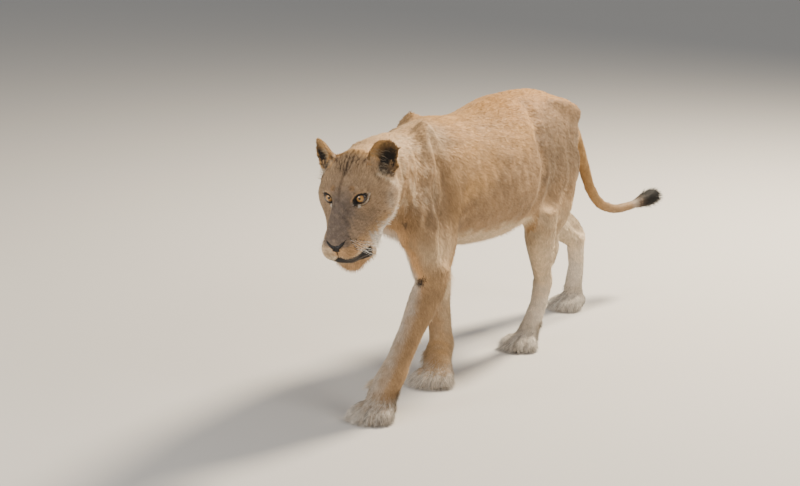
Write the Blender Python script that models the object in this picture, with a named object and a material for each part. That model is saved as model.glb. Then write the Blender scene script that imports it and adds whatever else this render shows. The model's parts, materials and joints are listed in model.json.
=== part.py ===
"""A life-size lioness in mid stride, parted into head, ears, eyes, nose, neck, trunk, legs and tail.

Metres, +Z up. The lioness faces -Y, her left side is +X, and the floor is Z = 0.
Her flesh is built up from tubes and muscles on a skeleton, made one surface, and parted with thin cuts.
"""

import math

import bmesh
import bpy
import numpy as np
from mathutils import Euler, Matrix, Vector

# Driving sizes
VOXEL = 0.0045
CUT_WIDTH = 0.0004
TRIANGLES = {"head": 1700, "paws": 720, "body": 1800}

EYE_RADIUS = 0.0185
EYE_PLACE = (0.0480, 0.0075, 0.0060)  # centre of the left eyeball in the head's own frame
NOSE_PLACE = (0.0, -0.1330, -0.0560)

EAR_HEIGHT = 0.108
EAR_WIDTH = 0.112
EAR_CUP = 0.046
EAR_WALL = 0.0085

MOUTH_FRONT = -0.112  # height of the parted lips in the head's own frame
MOUTH_CORNER = -0.118
MOUTH_GAP = 0.013

FORE_PAW = (0.128, 0.150)
HIND_PAW = (0.112, 0.140)
SOLE_LEVEL = 0.006

# Nose pad rings from back to front: distance back, top, foot, half width at top and at foot.
NOSE_RINGS = (
    (0.022, 0.010, -0.010, 0.034, 0.010),
    (0.006, 0.014, -0.016, 0.038, 0.011),
    (-0.003, 0.013, -0.018, 0.037, 0.011),
    (-0.009, 0.009, -0.015, 0.030, 0.008),
    (-0.012, 0.004, -0.008, 0.016, 0.004),
)

# Each leg's share of the flesh: a rectangle on the floor, one at the top, and that top's height.
# A rectangle is lowest and highest X, then lowest and highest Y.
LEG_SHARES = {
    "foreleg_left": ((-0.040, 0.300, -1.400, -0.930), (0.070, 0.300, -1.060, -0.700), 0.800),
    "foreleg_right": ((-0.300, 0.130, -0.925, -0.400), (-0.300, -0.068, -0.900, -0.530), 0.800),
    "hindleg_left": ((-0.075, 0.300, -0.400, 0.060), (0.060, 0.300, -0.240, 0.260), 0.800),
    "hindleg_right": ((-0.300, -0.020, 0.120, 0.600), (-0.300, -0.050, -0.220, 0.300), 0.800),
}
# Cuts across the body: centre of the cut, direction of the part taken off, half size and reach of the tool.
CROSS_CUTS = {
    "head": ((0.112, -1.205, 0.770), (0.25, -0.92, -0.30), 0.22, 0.5),
    "neck": ((0.010, -0.985, 0.690), (0.10, -1.00, 0.12), 0.26, 0.4),
    "tail_end": ((-0.004, 0.290, 0.480), (0.0, 0.80, -0.60), 0.20, 0.8),
    "tail_root": ((0.000, 0.185, 0.745), (0.0, 0.86, -0.50), 0.12, 0.5),
}

# Joints of the walking pose: left legs reach forward, right legs trail.
JOINTS = {
    "left": {
        "scapula_top": (0.058, -0.815, 0.862),
        "shoulder": (0.120, -0.960, 0.635),
        "elbow": (0.132, -0.885, 0.395),
        "wrist": (0.098, -1.034, 0.142),
        "fore_toes": (0.074, -1.088, 0.0),
        "hip": (0.100, -0.040, 0.690),
        "knee": (0.125, -0.235, 0.460),
        "hock": (0.064, -0.110, 0.230),
        "hind_toes": (0.024, -0.170, 0.0),
    },
    "right": {
        "scapula_top": (-0.060, -0.720, 0.868),
        "shoulder": (-0.115, -0.740, 0.605),
        "elbow": (-0.098, -0.530, 0.385),
        "wrist": (-0.025, -0.598, 0.110),
        "fore_toes": (0.014, -0.685, 0.0),
        "hip": (-0.100, 0.000, 0.700),
        "knee": (-0.130, 0.120, 0.440),
        "hock": (-0.102, 0.400, 0.262),
        "hind_toes": (-0.118, 0.395, 0.0),
    },
}
PAW_HEADING = {  # degrees that each paw turns out to the lioness's left
    ("left", "fore"): 8,
    ("right", "fore"): 14,
    ("left", "hind"): 10,
    ("right", "hind"): -4,
}

HEAD_CENTRE = (0.143, -1.325, 0.732)  # midway between the eyes
HEAD_TURN = (33.0, -4.0, 14.5)  # nod, roll and turn, in degrees

# Trunk ribs: distance back, top, bottom, height of the widest level, half width.
TRUNK_RIBS = (
    (-1.000, 0.710, 0.620, 0.665, 0.060),
    (-0.950, 0.790, 0.590, 0.670, 0.095),
    (-0.870, 0.862, 0.535, 0.660, 0.130),
    (-0.760, 0.878, 0.475, 0.640, 0.155),
    (-0.620, 0.874, 0.450, 0.625, 0.182),
    (-0.480, 0.882, 0.438, 0.620, 0.200),
    (-0.350, 0.910, 0.448, 0.625, 0.195),
    (-0.220, 0.914, 0.486, 0.650, 0.168),
    (-0.100, 0.907, 0.525, 0.680, 0.142),
    (0.020, 0.868, 0.580, 0.700, 0.108),
    (0.110, 0.803, 0.610, 0.695, 0.068),
    (0.170, 0.755, 0.650, 0.700, 0.038),
)

# Neck stations: centre, half width, half height.
NECK = (
    ((0.000, -0.800, 0.680), 0.110, 0.168),
    ((0.015, -0.910, 0.705), 0.112, 0.163),
    ((0.045, -1.020, 0.735), 0.104, 0.144),
    ((0.080, -1.120, 0.765), 0.098, 0.114),
    ((0.108, -1.200, 0.775), 0.092, 0.094),
    ((0.122, -1.250, 0.765), 0.080, 0.085),
)

# Tail stations: centre, radius.
TAIL = (
    ((0.000, 0.080, 0.790), 0.046),
    ((0.000, 0.160, 0.735), 0.035),
    ((0.000, 0.220, 0.655), 0.028),
    ((-0.002, 0.275, 0.575), 0.024),
    ((-0.004, 0.325, 0.490), 0.022),
    ((-0.002, 0.400, 0.420), 0.021),
    ((0.002, 0.500, 0.384), 0.020),
    ((0.004, 0.600, 0.376), 0.019),
    ((0.006, 0.690, 0.380), 0.018),
)
TUFT = (
    ((0.006, 0.650, 0.378), 0.018),
    ((0.007, 0.705, 0.381), 0.025),
    ((0.008, 0.760, 0.385), 0.028),
    ((0.008, 0.805, 0.388), 0.021),
    ((0.008, 0.832, 0.390), 0.008),
)

# Head sections, in the head's own frame, from nose to nape. Each is: distance back; height of the top; then
# half width and height at the brow, the eye, the cheek and the jaw; and height of the underside.
HEAD_SECTIONS = (
    (-0.141, -0.048, 0.018, -0.053, 0.024, -0.064, 0.024, -0.078, 0.018, -0.096, -0.106),
    (-0.130, -0.036, 0.030, -0.041, 0.036, -0.058, 0.037, -0.080, 0.034, -0.114, -0.152),
    (-0.105, -0.022, 0.032, -0.028, 0.043, -0.050, 0.051, -0.078, 0.055, -0.127, -0.171),
    (-0.075, -0.002, 0.029, -0.008, 0.043, -0.034, 0.057, -0.072, 0.069, -0.132, -0.170),
    (-0.048, 0.017, 0.026, 0.009, 0.039, -0.018, 0.064, -0.064, 0.077, -0.132, -0.167),
    (-0.026, 0.031, 0.025, 0.024, 0.032, -0.004, 0.071, -0.060, 0.080, -0.130, -0.163),
    (-0.013, 0.039, 0.029, 0.032, 0.042, -0.001, 0.078, -0.057, 0.081, -0.128, -0.160),
    (-0.003, 0.044, 0.036, 0.036, 0.060, 0.000, 0.086, -0.054, 0.075, -0.125, -0.157),
    (0.012, 0.051, 0.050, 0.038, 0.079, 0.000, 0.096, -0.052, 0.079, -0.124, -0.156),
    (0.036, 0.063, 0.068, 0.042, 0.095, 0.002, 0.113, -0.048, 0.084, -0.122, -0.153),
    (0.070, 0.074, 0.079, 0.043, 0.107, 0.003, 0.122, -0.048, 0.086, -0.118, -0.148),
    (0.100, 0.078, 0.079, 0.043, 0.105, 0.003, 0.118, -0.046, 0.082, -0.108, -0.138),
    (0.135, 0.074, 0.074, 0.040, 0.094, 0.002, 0.104, -0.044, 0.075, -0.098, -0.122),
    (0.170, 0.056, 0.056, 0.032, 0.070, 0.004, 0.076, -0.034, 0.056, -0.078, -0.094),
)


# Mesh helpers
def clear_scene():
    for old in list(bpy.data.objects):
        bpy.data.objects.remove(old)


def new_object(name, mesh):
    made = bpy.data.objects.new(name, mesh)
    bpy.context.scene.collection.objects.link(made)
    return made


def object_from(name, bm):
    mesh = bpy.data.meshes.new(name)
    bm.normal_update()
    bmesh.ops.recalc_face_normals(bm, faces=bm.faces)
    bm.to_mesh(mesh)
    bm.free()
    return new_object(name, mesh)


def apply_modifiers(obj):
    """The object's mesh, replaced by what its modifiers make of it."""
    graph = bpy.context.evaluated_depsgraph_get()
    made = bpy.data.meshes.new_from_object(obj.evaluated_get(graph), depsgraph=graph)
    obj.modifiers.clear()
    old = obj.data
    obj.data = made
    bpy.data.meshes.remove(old)


def smooth_rows(rows, steps):
    """Rows of numbers read from a Catmull-Rom curve through the given rows."""
    rows = np.array([np.hstack(row) for row in rows], float)
    padded = np.vstack([2 * rows[0] - rows[1], rows, 2 * rows[-1] - rows[-2]])
    made = []
    for i in range(len(rows) - 1):
        a, b, c, d = padded[i : i + 4]
        for t in np.arange(steps) / steps:
            made.append(
                0.5
                * (
                    2 * b
                    + (c - a) * t
                    + (2 * a - 5 * b + 4 * c - d) * t**2
                    + (3 * b - a - 3 * c + d) * t**3
                )
            )
    made.append(rows[-1])
    return np.array(made)


def skin_rings(bm, rings):
    """Closed tube through rings of points, its two ends filled."""
    layers = [[bm.verts.new(point) for point in ring] for ring in rings]
    count = len(layers[0])
    for near, far in zip(layers, layers[1:]):
        for i in range(count):
            j = (i + 1) % count
            bm.faces.new((near[i], near[j], far[j], far[i]))
    bm.faces.new(list(reversed(layers[0])))
    bm.faces.new(layers[-1])


def tube(bm, stations, steps=4, sides=20):
    """Tube whose stations are (centre, half width[, half depth]); width runs along the lioness's X."""
    rows = smooth_rows(stations, steps)
    centres = rows[:, :3]
    along = np.gradient(centres, axis=0)
    rings = []
    for centre, direction, sizes in zip(centres, along, rows[:, 3:]):
        direction = Vector(direction).normalized()
        side = (Vector((1, 0, 0)) - direction * direction.x).normalized()
        depth = direction.cross(side)
        rings.append(
            [
                Vector(centre)
                + side * (math.cos(turn) * sizes[0])
                + depth * (math.sin(turn) * sizes[-1])
                for turn in np.linspace(0, 2 * math.pi, sides, endpoint=False)
            ]
        )
    skin_rings(bm, rings)


def barrel(bm, ribs, steps=4, sides=28):
    """The trunk: each rib is an egg with its own top, bottom, widest level and half width."""
    rings = []
    for back, top, bottom, level, half in smooth_rows(ribs, steps):
        ring = []
        for turn in np.linspace(0, 2 * math.pi, sides, endpoint=False):
            lift = math.sin(turn)
            reach = (top - level) if lift > 0 else (level - bottom)
            ring.append(Vector((half * math.cos(turn), back, level + reach * lift)))
        rings.append(ring)
    skin_rings(bm, rings)


def ball(bm, centre, radii, frame=None, tilt=(0, 0, 0)):
    """Ellipsoid; frame places it, and tilt turns it about its own centre, in degrees."""
    turn = Euler([math.radians(angle) for angle in tilt]).to_matrix().to_4x4()
    place = Matrix.Translation(centre) @ turn @ Matrix.Diagonal((*radii, 1))
    bmesh.ops.create_uvsphere(
        bm,
        u_segments=24,
        v_segments=16,
        radius=1,
        matrix=(frame or Matrix.Identity(4)) @ place,
    )


def muscle(bm, start, end, side, depth):
    """Spindle from start to end, side across the lioness and depth fore and aft."""
    start, end = Vector(start), Vector(end)
    along = (end - start).normalized()
    across = (Vector((1, 0, 0)) - along * along.x).normalized()
    third = across.cross(along)
    turn = Matrix((across, along, third)).transposed().to_4x4()
    half = (end - start).length / 2
    place = Matrix.Translation((start + end) / 2) @ turn
    bmesh.ops.create_uvsphere(
        bm,
        u_segments=24,
        v_segments=16,
        radius=1,
        matrix=place @ Matrix.Diagonal((side, half, depth, 1)),
    )


def between(a, b, share):
    return Vector(a).lerp(Vector(b), share)


def shifted(point, x=0.0, y=0.0, z=0.0):
    return Vector(point) + Vector((x, y, z))


# Body masses
def add_shoulder(bm, joint, out):
    """Scapula, upper arm and triceps; out is +1 on the left side and -1 on the right."""
    top, shoulder, elbow = joint["scapula_top"], joint["shoulder"], joint["elbow"]
    muscle(bm, shifted(top, z=0.030), shifted(shoulder, z=-0.020), 0.046, 0.070)
    muscle(bm, shifted(top, y=0.050, z=-0.020), shifted(shoulder, y=0.080, z=-0.030), 0.042, 0.078)
    muscle(bm, shifted(shoulder, z=0.090), shifted(elbow, z=-0.035), 0.056, 0.066)
    triceps = shifted(top, x=0.030 * out, y=0.060, z=-0.140)
    muscle(bm, triceps, shifted(elbow, y=0.040, z=-0.010), 0.048, 0.068)
    muscle(bm, shifted(shoulder, y=-0.035, z=0.060), shifted(shoulder, y=-0.005, z=-0.130), 0.050, 0.050)


def add_foreleg(bm, joint):
    elbow, wrist = joint["elbow"], joint["wrist"]
    tube(
        bm,
        (
            (shifted(elbow, y=0.004, z=0.060), 0.052, 0.070),
            (elbow, 0.050, 0.064),
            (between(elbow, wrist, 0.25), 0.047, 0.056),
            (between(elbow, wrist, 0.55), 0.040, 0.044),
            (between(elbow, wrist, 0.85), 0.040, 0.041),
            (wrist, 0.045, 0.043),
        ),
    )
    muscle(bm, shifted(elbow, y=0.050, z=0.065), shifted(elbow, y=0.038, z=-0.045), 0.024, 0.024)
    toes = joint["fore_toes"]
    tube(
        bm,
        (
            (between(elbow, wrist, 0.9), 0.041, 0.041),
            (wrist, 0.046, 0.043),
            (shifted(between(wrist, toes, 0.45), y=-0.010, z=0.014), 0.051, 0.040),
            (shifted(toes, y=0.012, z=0.040), 0.053, 0.034),
        ),
    )


def add_thigh(bm, joint, out):
    """Front of the thigh, its broad back, the buttock and the fold that runs forward to the flank."""
    hip, knee = joint["hip"], joint["knee"]
    front = shifted(hip, x=-0.015 * out, y=-0.070, z=0.106)
    muscle(bm, front, shifted(knee, y=0.020, z=-0.030), 0.062, 0.096)
    broad = shifted(hip, x=-0.020 * out, y=0.040, z=0.052)
    muscle(bm, broad, shifted(knee, x=-0.010 * out, y=0.070, z=-0.060), 0.062, 0.088)
    buttock = shifted(hip, x=-0.035 * out, y=-0.014, z=0.080)
    muscle(bm, buttock, shifted(hip, x=-0.020 * out, y=0.064, z=-0.150), 0.062, 0.078)
    fold = shifted(hip, x=-0.010 * out, y=-0.110, z=0.050)
    muscle(bm, fold, shifted(knee, y=-0.012), 0.048, 0.052)


def add_hindleg(bm, joint):
    knee, hock, toes = joint["knee"], joint["hock"], joint["hind_toes"]
    tube(
        bm,
        (
            (shifted(knee, z=0.070), 0.060, 0.078),
            (knee, 0.054, 0.068),
            (between(knee, hock, 0.3), 0.047, 0.062),
            (between(knee, hock, 0.6), 0.038, 0.046),
            (between(knee, hock, 0.88), 0.032, 0.034),
            (hock, 0.034, 0.038),
        ),
    )
    heel = shifted(hock, y=0.040, z=0.032)
    muscle(bm, shifted(knee, y=0.100, z=-0.010), shifted(heel, z=0.010), 0.026, 0.034)
    muscle(bm, shifted(heel, z=0.026), shifted(hock, y=0.012, z=-0.060), 0.024, 0.022)
    tube(
        bm,
        (
            (shifted(hock, z=0.026), 0.034, 0.036),
            (hock, 0.036, 0.038),
            (between(hock, shifted(toes, y=0.050), 0.35), 0.033, 0.030),
            (shifted(between(hock, toes, 0.72), y=0.012, z=0.010), 0.038, 0.031),
            (shifted(toes, y=0.030, z=0.036), 0.044, 0.030),
        ),
    )


def add_trunk(bm):
    barrel(bm, TRUNK_RIBS)
    tube(bm, NECK)
    for out in (1, -1):
        # Breast, hip bone and, below, the folds of skin from flank to knee.
        breast = (0.040 * out, -0.950 - 0.030 * out, 0.700)
        muscle(bm, breast, (0.045 * out, -0.840 - 0.050 * out, 0.510), 0.046, 0.046)
        muscle(bm, (0.060 * out, -0.200, 0.870), (0.060 * out, 0.130, 0.790), 0.045, 0.050)
    muscle(bm, (0.130, -0.330, 0.560), (0.128, -0.200, 0.455), 0.028, 0.045)
    muscle(bm, (-0.130, -0.260, 0.560), (-0.130, 0.080, 0.450), 0.030, 0.050)


def head_frame():
    nod, roll, turn = (math.radians(angle) for angle in HEAD_TURN)
    return (
        Matrix.Translation(HEAD_CENTRE)
        @ Matrix.Rotation(turn, 4, "Z")
        @ Matrix.Rotation(nod, 4, "X")
        @ Matrix.Rotation(roll, 4, "Y")
    )


def closed_curve(points, steps=3):
    """Catmull-Rom curve around a closed ring of points."""
    count = len(points)
    made = []
    for i in range(count):
        a, b, c, d = (points[(i + k) % count] for k in (-1, 0, 1, 2))
        for t in np.arange(steps) / steps:
            made.append(
                0.5
                * (
                    2 * b
                    + (c - a) * t
                    + (2 * a - 5 * b + 4 * c - d) * t**2
                    + (3 * b - a - 3 * c + d) * t**3
                )
            )
    return made


def add_skull(bm, frame):
    """The head from nose to nape, lofted through its sections."""
    rings = []
    for row in smooth_rows(HEAD_SECTIONS, 4):
        back, top, brow, brow_z, eye, eye_z, cheek, cheek_z, jaw, jaw_z, foot = row
        half = [(0, top), (brow, brow_z), (eye, eye_z), (cheek, cheek_z), (jaw, jaw_z), (0, foot)]
        ring = half + [(-x, z) for x, z in reversed(half[1:-1])]
        points = [np.array((x, back, z)) for x, z in ring]
        rings.append([frame @ Vector(point) for point in closed_curve(points, 4)])
    skin_rings(bm, rings)


# Fine masses
def add_face(bm, frame):
    """Whisker pads, chin, brows and chewing muscles on the skull."""
    ball(bm, (0, -0.104, -0.143), (0.033, 0.035, 0.031), frame)
    ball(bm, (0, -0.120, -0.068), (0.028, 0.024, 0.034), frame)
    for out in (1, -1):
        ball(bm, (0.029 * out, -0.106, -0.081), (0.032, 0.042, 0.034), frame, (10, 0, 0))
        ball(bm, (0.042 * out, -0.080, -0.088), (0.026, 0.048, 0.034), frame, (12, 0, -8 * out))
        ball(bm, (0.047 * out, 0.025, 0.031), (0.026, 0.034, 0.015), frame, (8, 18 * out, 0))
        ball(bm, (0.056 * out, 0.066, -0.088), (0.046, 0.066, 0.050), frame)


def add_ear(bm, frame, out):
    """Rounded ear, a thick-walled cup that opens outward and forward."""
    axis = Vector((0.34 * out, 0.48, 0.74)).normalized()
    opening = Vector((0.62 * out, -0.62, 0.34))
    opening = (opening - axis * opening.dot(axis)).normalized()
    side = axis.cross(opening)
    root = Vector((0.077 * out, 0.106, 0.020))
    rings = []
    for wall in (1, 0):
        rows = []
        for rise in np.linspace(0.0, 1.0, 9):
            round_tip = math.sqrt(max(1 - (max(rise - 0.42, 0) / 0.60) ** 2, 0.02))
            width = EAR_WIDTH / 2 * round_tip * (0.80 + 0.20 * min(rise / 0.42, 1))
            depth = EAR_CUP * (1 - 0.75 * rise)
            row = []
            for turn in np.linspace(-1.0, 1.0, 11):
                bow = math.cos(turn * math.pi / 2)
                point = root + axis * (EAR_HEIGHT * rise) + side * (width * math.sin(turn * math.pi / 2))
                point -= opening * (depth * bow - 0.35 * EAR_CUP)
                if wall == 0:
                    point += opening * EAR_WALL * (0.4 + 0.6 * bow)
                    point -= side * EAR_WALL * 0.45 * math.sin(turn * math.pi / 2)
                    point -= axis * EAR_WALL * 0.6 * rise
                row.append(point)
            rows.append(row)
        rings.append(rows)
    back, front = rings
    skin_rings(bm, [b + list(reversed(f)) for b, f in zip(back, front)])
    ball(bm, root + Vector((-0.004 * out, 0.004, -0.004)), (0.036, 0.034, 0.034), frame=None)


def add_paw(bm, toes, heading, width, length):
    """Broad paw on four toes; toes is the point on the floor under the middle of the toe knuckles."""
    frame = Matrix.Translation(toes) @ Matrix.Rotation(math.radians(heading), 4, "Z")
    ball(bm, (0, 0.012, 0.030), (width * 0.42, length * 0.50, 0.034), frame)
    ball(bm, (0, 0.020, 0.014), (width * 0.36, length * 0.36, 0.020), frame)
    for spread in (-1.5, -0.5, 0.5, 1.5):
        reach = length * (0.34 if abs(spread) < 1 else 0.24)
        centre = (spread * width * 0.245, -reach, 0.024)
        ball(bm, centre, (width * 0.150, length * 0.27, 0.029), frame, (6, 0, -spread * 9))
        knuckle = (centre[0], length * 0.10 - reach, 0.036)
        ball(bm, knuckle, (width * 0.130, length * 0.18, 0.022), frame, (14, 0, -spread * 7))


# One surface
def region_weights(obj, head):
    """Vertex groups: head, paws and body, so that each is smoothed and thinned by itself."""
    toes = [Vector(side[end]) for side in JOINTS.values() for end in ("fore_toes", "hind_toes")]
    groups = {name: obj.vertex_groups.new(name=name) for name in TRIANGLES}
    into_head = head.inverted()
    members = {name: [] for name in TRIANGLES}
    for vertex in obj.data.vertices:
        own = into_head @ vertex.co
        if own.y < 0.135 and own.length < 0.24 and vertex.co.z > 0.3:
            members["head"].append(vertex.index)
        elif vertex.co.z < 0.075 and min((vertex.co - toe).xy.length for toe in toes) < 0.14:
            members["paws"].append(vertex.index)
        else:
            members["body"].append(vertex.index)
    for name, indices in members.items():
        groups[name].add(indices, 1.0, "REPLACE")
    torso = obj.vertex_groups.new(name="torso")
    for index in members["body"]:
        place = obj.data.vertices[index].co
        share = min((place.z - 0.40) / 0.12, (0.16 - place.y) / 0.10, 1.0)
        if share > 0:
            torso.add([index], share, "REPLACE")


def count_in_group(obj, name):
    index = obj.vertex_groups[name].index
    inside = np.zeros(len(obj.data.vertices), bool)
    for vertex in obj.data.vertices:
        inside[vertex.index] = any(g.group == index and g.weight > 0.5 for g in vertex.groups)
    return sum(all(inside[i] for i in face.vertices) for face in obj.data.polygons)


def fused_body():
    """All flesh as one closed, smoothed surface with flat soles on the floor."""
    head = head_frame()
    bm = bmesh.new()
    add_trunk(bm)
    add_skull(bm, head)
    add_face(bm, head)
    for name, out in (("left", 1), ("right", -1)):
        joint = JOINTS[name]
        add_shoulder(bm, joint, out)
        add_foreleg(bm, joint)
        add_thigh(bm, joint, out)
        add_hindleg(bm, joint)
        add_paw(bm, joint["fore_toes"], PAW_HEADING[name, "fore"], FORE_PAW[0], FORE_PAW[1])
        add_paw(bm, joint["hind_toes"], PAW_HEADING[name, "hind"], HIND_PAW[0], HIND_PAW[1])
    tube(bm, [(centre, radius, radius) for centre, radius in TAIL])
    tube(bm, [(centre, radius, radius) for centre, radius in TUFT])
    for out in (1, -1):
        ear = bmesh.new()
        add_ear(ear, head, out)
        ear.transform(head)
        loose = bpy.data.meshes.new("ear")
        bmesh.ops.recalc_face_normals(ear, faces=ear.faces)
        ear.to_mesh(loose)
        ear.free()
        bm.from_mesh(loose)
        bpy.data.meshes.remove(loose)
    body = object_from("body", bm)
    fuse = body.modifiers.new("Fuse", "REMESH")
    fuse.mode = "VOXEL"
    fuse.voxel_size = VOXEL
    fuse.use_smooth_shade = True
    apply_modifiers(body)
    region_weights(body, head)
    for name, repeats in (("body", 24), ("torso", 80), ("paws", 5), ("head", 3)):
        soften = body.modifiers.new("Soften " + name, "SMOOTH")
        soften.factor = 0.5
        soften.iterations = repeats
        soften.vertex_group = name
    body.modifiers.new("Triangles", "TRIANGULATE")
    apply_modifiers(body)
    flatten_soles(body)
    for name, wanted in TRIANGLES.items():
        thin_out(body, name, wanted)
    cut_mouth(body, head)
    return body, head


def thin_out(body, name, wanted):
    """Collapses the named region's triangles to the wanted number."""
    triangles = len(body.data.polygons)
    thin = body.modifiers.new("Thin", "DECIMATE")
    thin.ratio = (triangles - count_in_group(body, name) + wanted) / triangles
    thin.vertex_group = name
    thin.vertex_group_factor = 1.0
    apply_modifiers(body)


def flatten_soles(body):
    """Everything under the floor's level comes up to it, which leaves a small flat under each paw."""
    for vertex in body.data.vertices:
        if vertex.co.z < SOLE_LEVEL:
            vertex.co.z = SOLE_LEVEL


def cut_mouth(body, head):
    """A shallow wedge that parts the lips."""
    bm = bmesh.new()
    rings = []
    for share in np.linspace(0, 1, 7):
        back = -0.150 + 0.092 * share
        middle = MOUTH_FRONT + (MOUTH_CORNER - MOUTH_FRONT) * share**1.2
        half = MOUTH_GAP / 2 * (1 - 0.35 * share)
        reach = 0.075
        rings.append(
            [
                Vector((reach, back, middle + half)),
                Vector((-reach, back, middle + half)),
                Vector((-reach, back, middle - half)),
                Vector((reach, back, middle - half)),
            ]
        )
    skin_rings(bm, rings)
    wedge = object_from("mouth wedge", bm)
    corners = ((0.020, -0.112), (0.036, -0.030))
    core = hull_tool(
        "mouth core",
        [(x * side, y, z) for x, y in corners for side in (1, -1) for z in (-0.2, 0.0)],
    )
    cut_with(wedge, core, "DIFFERENCE")
    bpy.data.objects.remove(core)
    wedge.matrix_world = head
    cut_with(body, wedge, "DIFFERENCE")
    bpy.data.objects.remove(wedge)


def cut_with(obj, tool, kind):
    cut = obj.modifiers.new("Cut", "BOOLEAN")
    cut.operation = kind
    cut.solver = "EXACT"
    cut.object = tool
    tool.hide_render = True
    tool.display_type = "WIRE"
    apply_modifiers(obj)


# Parting
def hull_tool(name, points):
    bm = bmesh.new()
    for point in points:
        bm.verts.new(point)
    bmesh.ops.convex_hull(bm, input=bm.verts)
    return object_from(name, bm)


def slab_points(centre, normal, half_size, thickness):
    """Corners of a box whose near face is centred on centre and which reaches along normal."""
    normal = Vector(normal).normalized()
    across = normal.orthogonal().normalized()
    other = normal.cross(across)
    corners = []
    for depth in (0, thickness):
        for a in (-half_size, half_size):
            for b in (-half_size, half_size):
                corners.append(Vector(centre) + normal * depth + across * a + other * b)
    return corners


def part_off(whole, name, points):
    """What lies inside the hull of points becomes its own object; the rest stays, a thin cut away."""
    middle = sum((Vector(point) for point in points), Vector()) / len(points)
    piece = new_object(name, whole.data.copy())
    tool = hull_tool(name + " cutter", points)
    cut_with(piece, tool, "INTERSECT")
    bpy.data.objects.remove(tool)
    wider = []
    for point in points:
        away = Vector(point) - middle
        wider.append(Vector(point) + Vector([math.copysign(CUT_WIDTH, value) for value in away]))
    tool = hull_tool(name + " wide cutter", wider)
    cut_with(whole, tool, "DIFFERENCE")
    bpy.data.objects.remove(tool)
    return piece


def leg_points(floor, top, height):
    """Hull corners of a leg's share: a rectangle on the floor and one at the given height."""
    corners = []
    for (x_low, x_high, y_low, y_high), level in ((floor, -0.05), (top, height)):
        corners += [(x, y, level) for x in (x_low, x_high) for y in (y_low, y_high)]
    return corners


def keep_largest(obj):
    """Crumbs that a cut leaves behind are taken away."""
    bm = bmesh.new()
    bm.from_mesh(obj.data)
    bmesh.ops.remove_doubles(bm, verts=bm.verts, dist=0.00005)
    bm.verts.ensure_lookup_table()
    seen, islands = set(), []
    for start in bm.verts:
        if start in seen:
            continue
        stack, island = [start], []
        seen.add(start)
        while stack:
            vertex = stack.pop()
            island.append(vertex)
            for edge in vertex.link_edges:
                other = edge.other_vert(vertex)
                if other not in seen:
                    seen.add(other)
                    stack.append(other)
        islands.append(island)
    islands.sort(key=len)
    crumbs = [vertex for island in islands[:-1] for vertex in island]
    bmesh.ops.delete(bm, geom=crumbs, context="VERTS")
    bm.to_mesh(obj.data)
    bm.free()


# Eyes and nose
def add_eye(name, head, out):
    bm = bmesh.new()
    x, y, z = EYE_PLACE
    bmesh.ops.create_uvsphere(bm, u_segments=16, v_segments=9, radius=EYE_RADIUS)
    bm.transform(head @ Matrix.Translation((x * out, y, z)) @ Matrix.Rotation(math.radians(90), 4, "X"))
    return object_from(name, bm)


def add_nose(head):
    """Nose pad: a broad top edge, a narrow foot, and a slit nostril at each side."""
    bm = bmesh.new()
    rings = []
    for back, top, foot, half_top, half_foot in NOSE_RINGS:
        ring = []
        for turn in np.linspace(0, 2 * math.pi, 20, endpoint=False):
            lift = math.sin(turn)
            half = half_foot + (half_top - half_foot) * (0.5 + 0.5 * lift)
            ring.append(Vector((half * math.cos(turn), back, (top + foot) / 2 + (top - foot) / 2 * lift)))
        rings.append(ring)
    skin_rings(bm, rings)
    bm.transform(head @ Matrix.Translation(NOSE_PLACE) @ Matrix.Rotation(math.radians(20), 4, "X"))
    return object_from("nose", bm)


def grown_copy(obj, amount):
    """The same shape a little larger, used to make room for obj in the flesh around it."""
    bm = bmesh.new()
    bm.from_mesh(obj.data)
    bm.normal_update()
    for vertex in bm.verts:
        vertex.co += vertex.normal * amount
    return object_from(obj.name + " room", bm)


# Colours
def paint(obj, name, colour, roughness):
    material = bpy.data.materials.get(name) or bpy.data.materials.new(name)
    material.use_nodes = True
    shader = material.node_tree.nodes["Principled BSDF"]
    shader.inputs["Base Color"].default_value = (*colour, 1)
    shader.inputs["Roughness"].default_value = roughness
    shader.inputs["Metallic"].default_value = 0.0
    obj.data.materials.clear()
    obj.data.materials.append(material)


def main():
    clear_scene()
    body, head = fused_body()
    nose = add_nose(head)
    eyes = [add_eye("eye_left", head, 1), add_eye("eye_right", head, -1)]
    for thing in (nose, *eyes):
        room = grown_copy(thing, 0.0003)
        cut_with(body, room, "DIFFERENCE")
        bpy.data.objects.remove(room)

    pieces = []
    for name, (floor, top, height) in LEG_SHARES.items():
        pieces.append(part_off(body, name, leg_points(floor, top, height)))
    for name, out in (("ear_left", 1), ("ear_right", -1)):
        start = head @ Vector((0.078 * out, 0.112, 0.052))
        axis = head.to_3x3() @ Vector((0.56 * out, 0.36, 0.72))
        pieces.append(part_off(body, name, slab_points(start, axis, 0.085, 0.2)))
    for name, (centre, normal, size, reach) in CROSS_CUTS.items():
        pieces.append(part_off(body, name, slab_points(centre, normal, size, reach)))
    body.name = "trunk"
    pieces.append(body)

    fur = (0.52, 0.36, 0.20)
    for piece in pieces:
        keep_largest(piece)
        piece.vertex_groups.clear()
        paint(piece, "fur " + piece.name, fur, 0.9)
    paint(nose, "nose pad", (0.10, 0.055, 0.040), 0.45)
    for eye in eyes:
        paint(eye, eye.name, (0.45, 0.24, 0.06), 0.08)

    settle(pieces + [nose] + eyes)


def settle(objects):
    """The soles go to Z = 0 and the middle of the bounding box to X = Y = 0."""
    points = np.array([tuple(v.co) for obj in objects for v in obj.data.vertices])
    low, high = points.min(axis=0), points.max(axis=0)
    shift = Vector((-(low[0] + high[0]) / 2, -(low[1] + high[1]) / 2, -low[2]))
    for obj in objects:
        obj.data.transform(Matrix.Translation(shift))


main()
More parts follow.
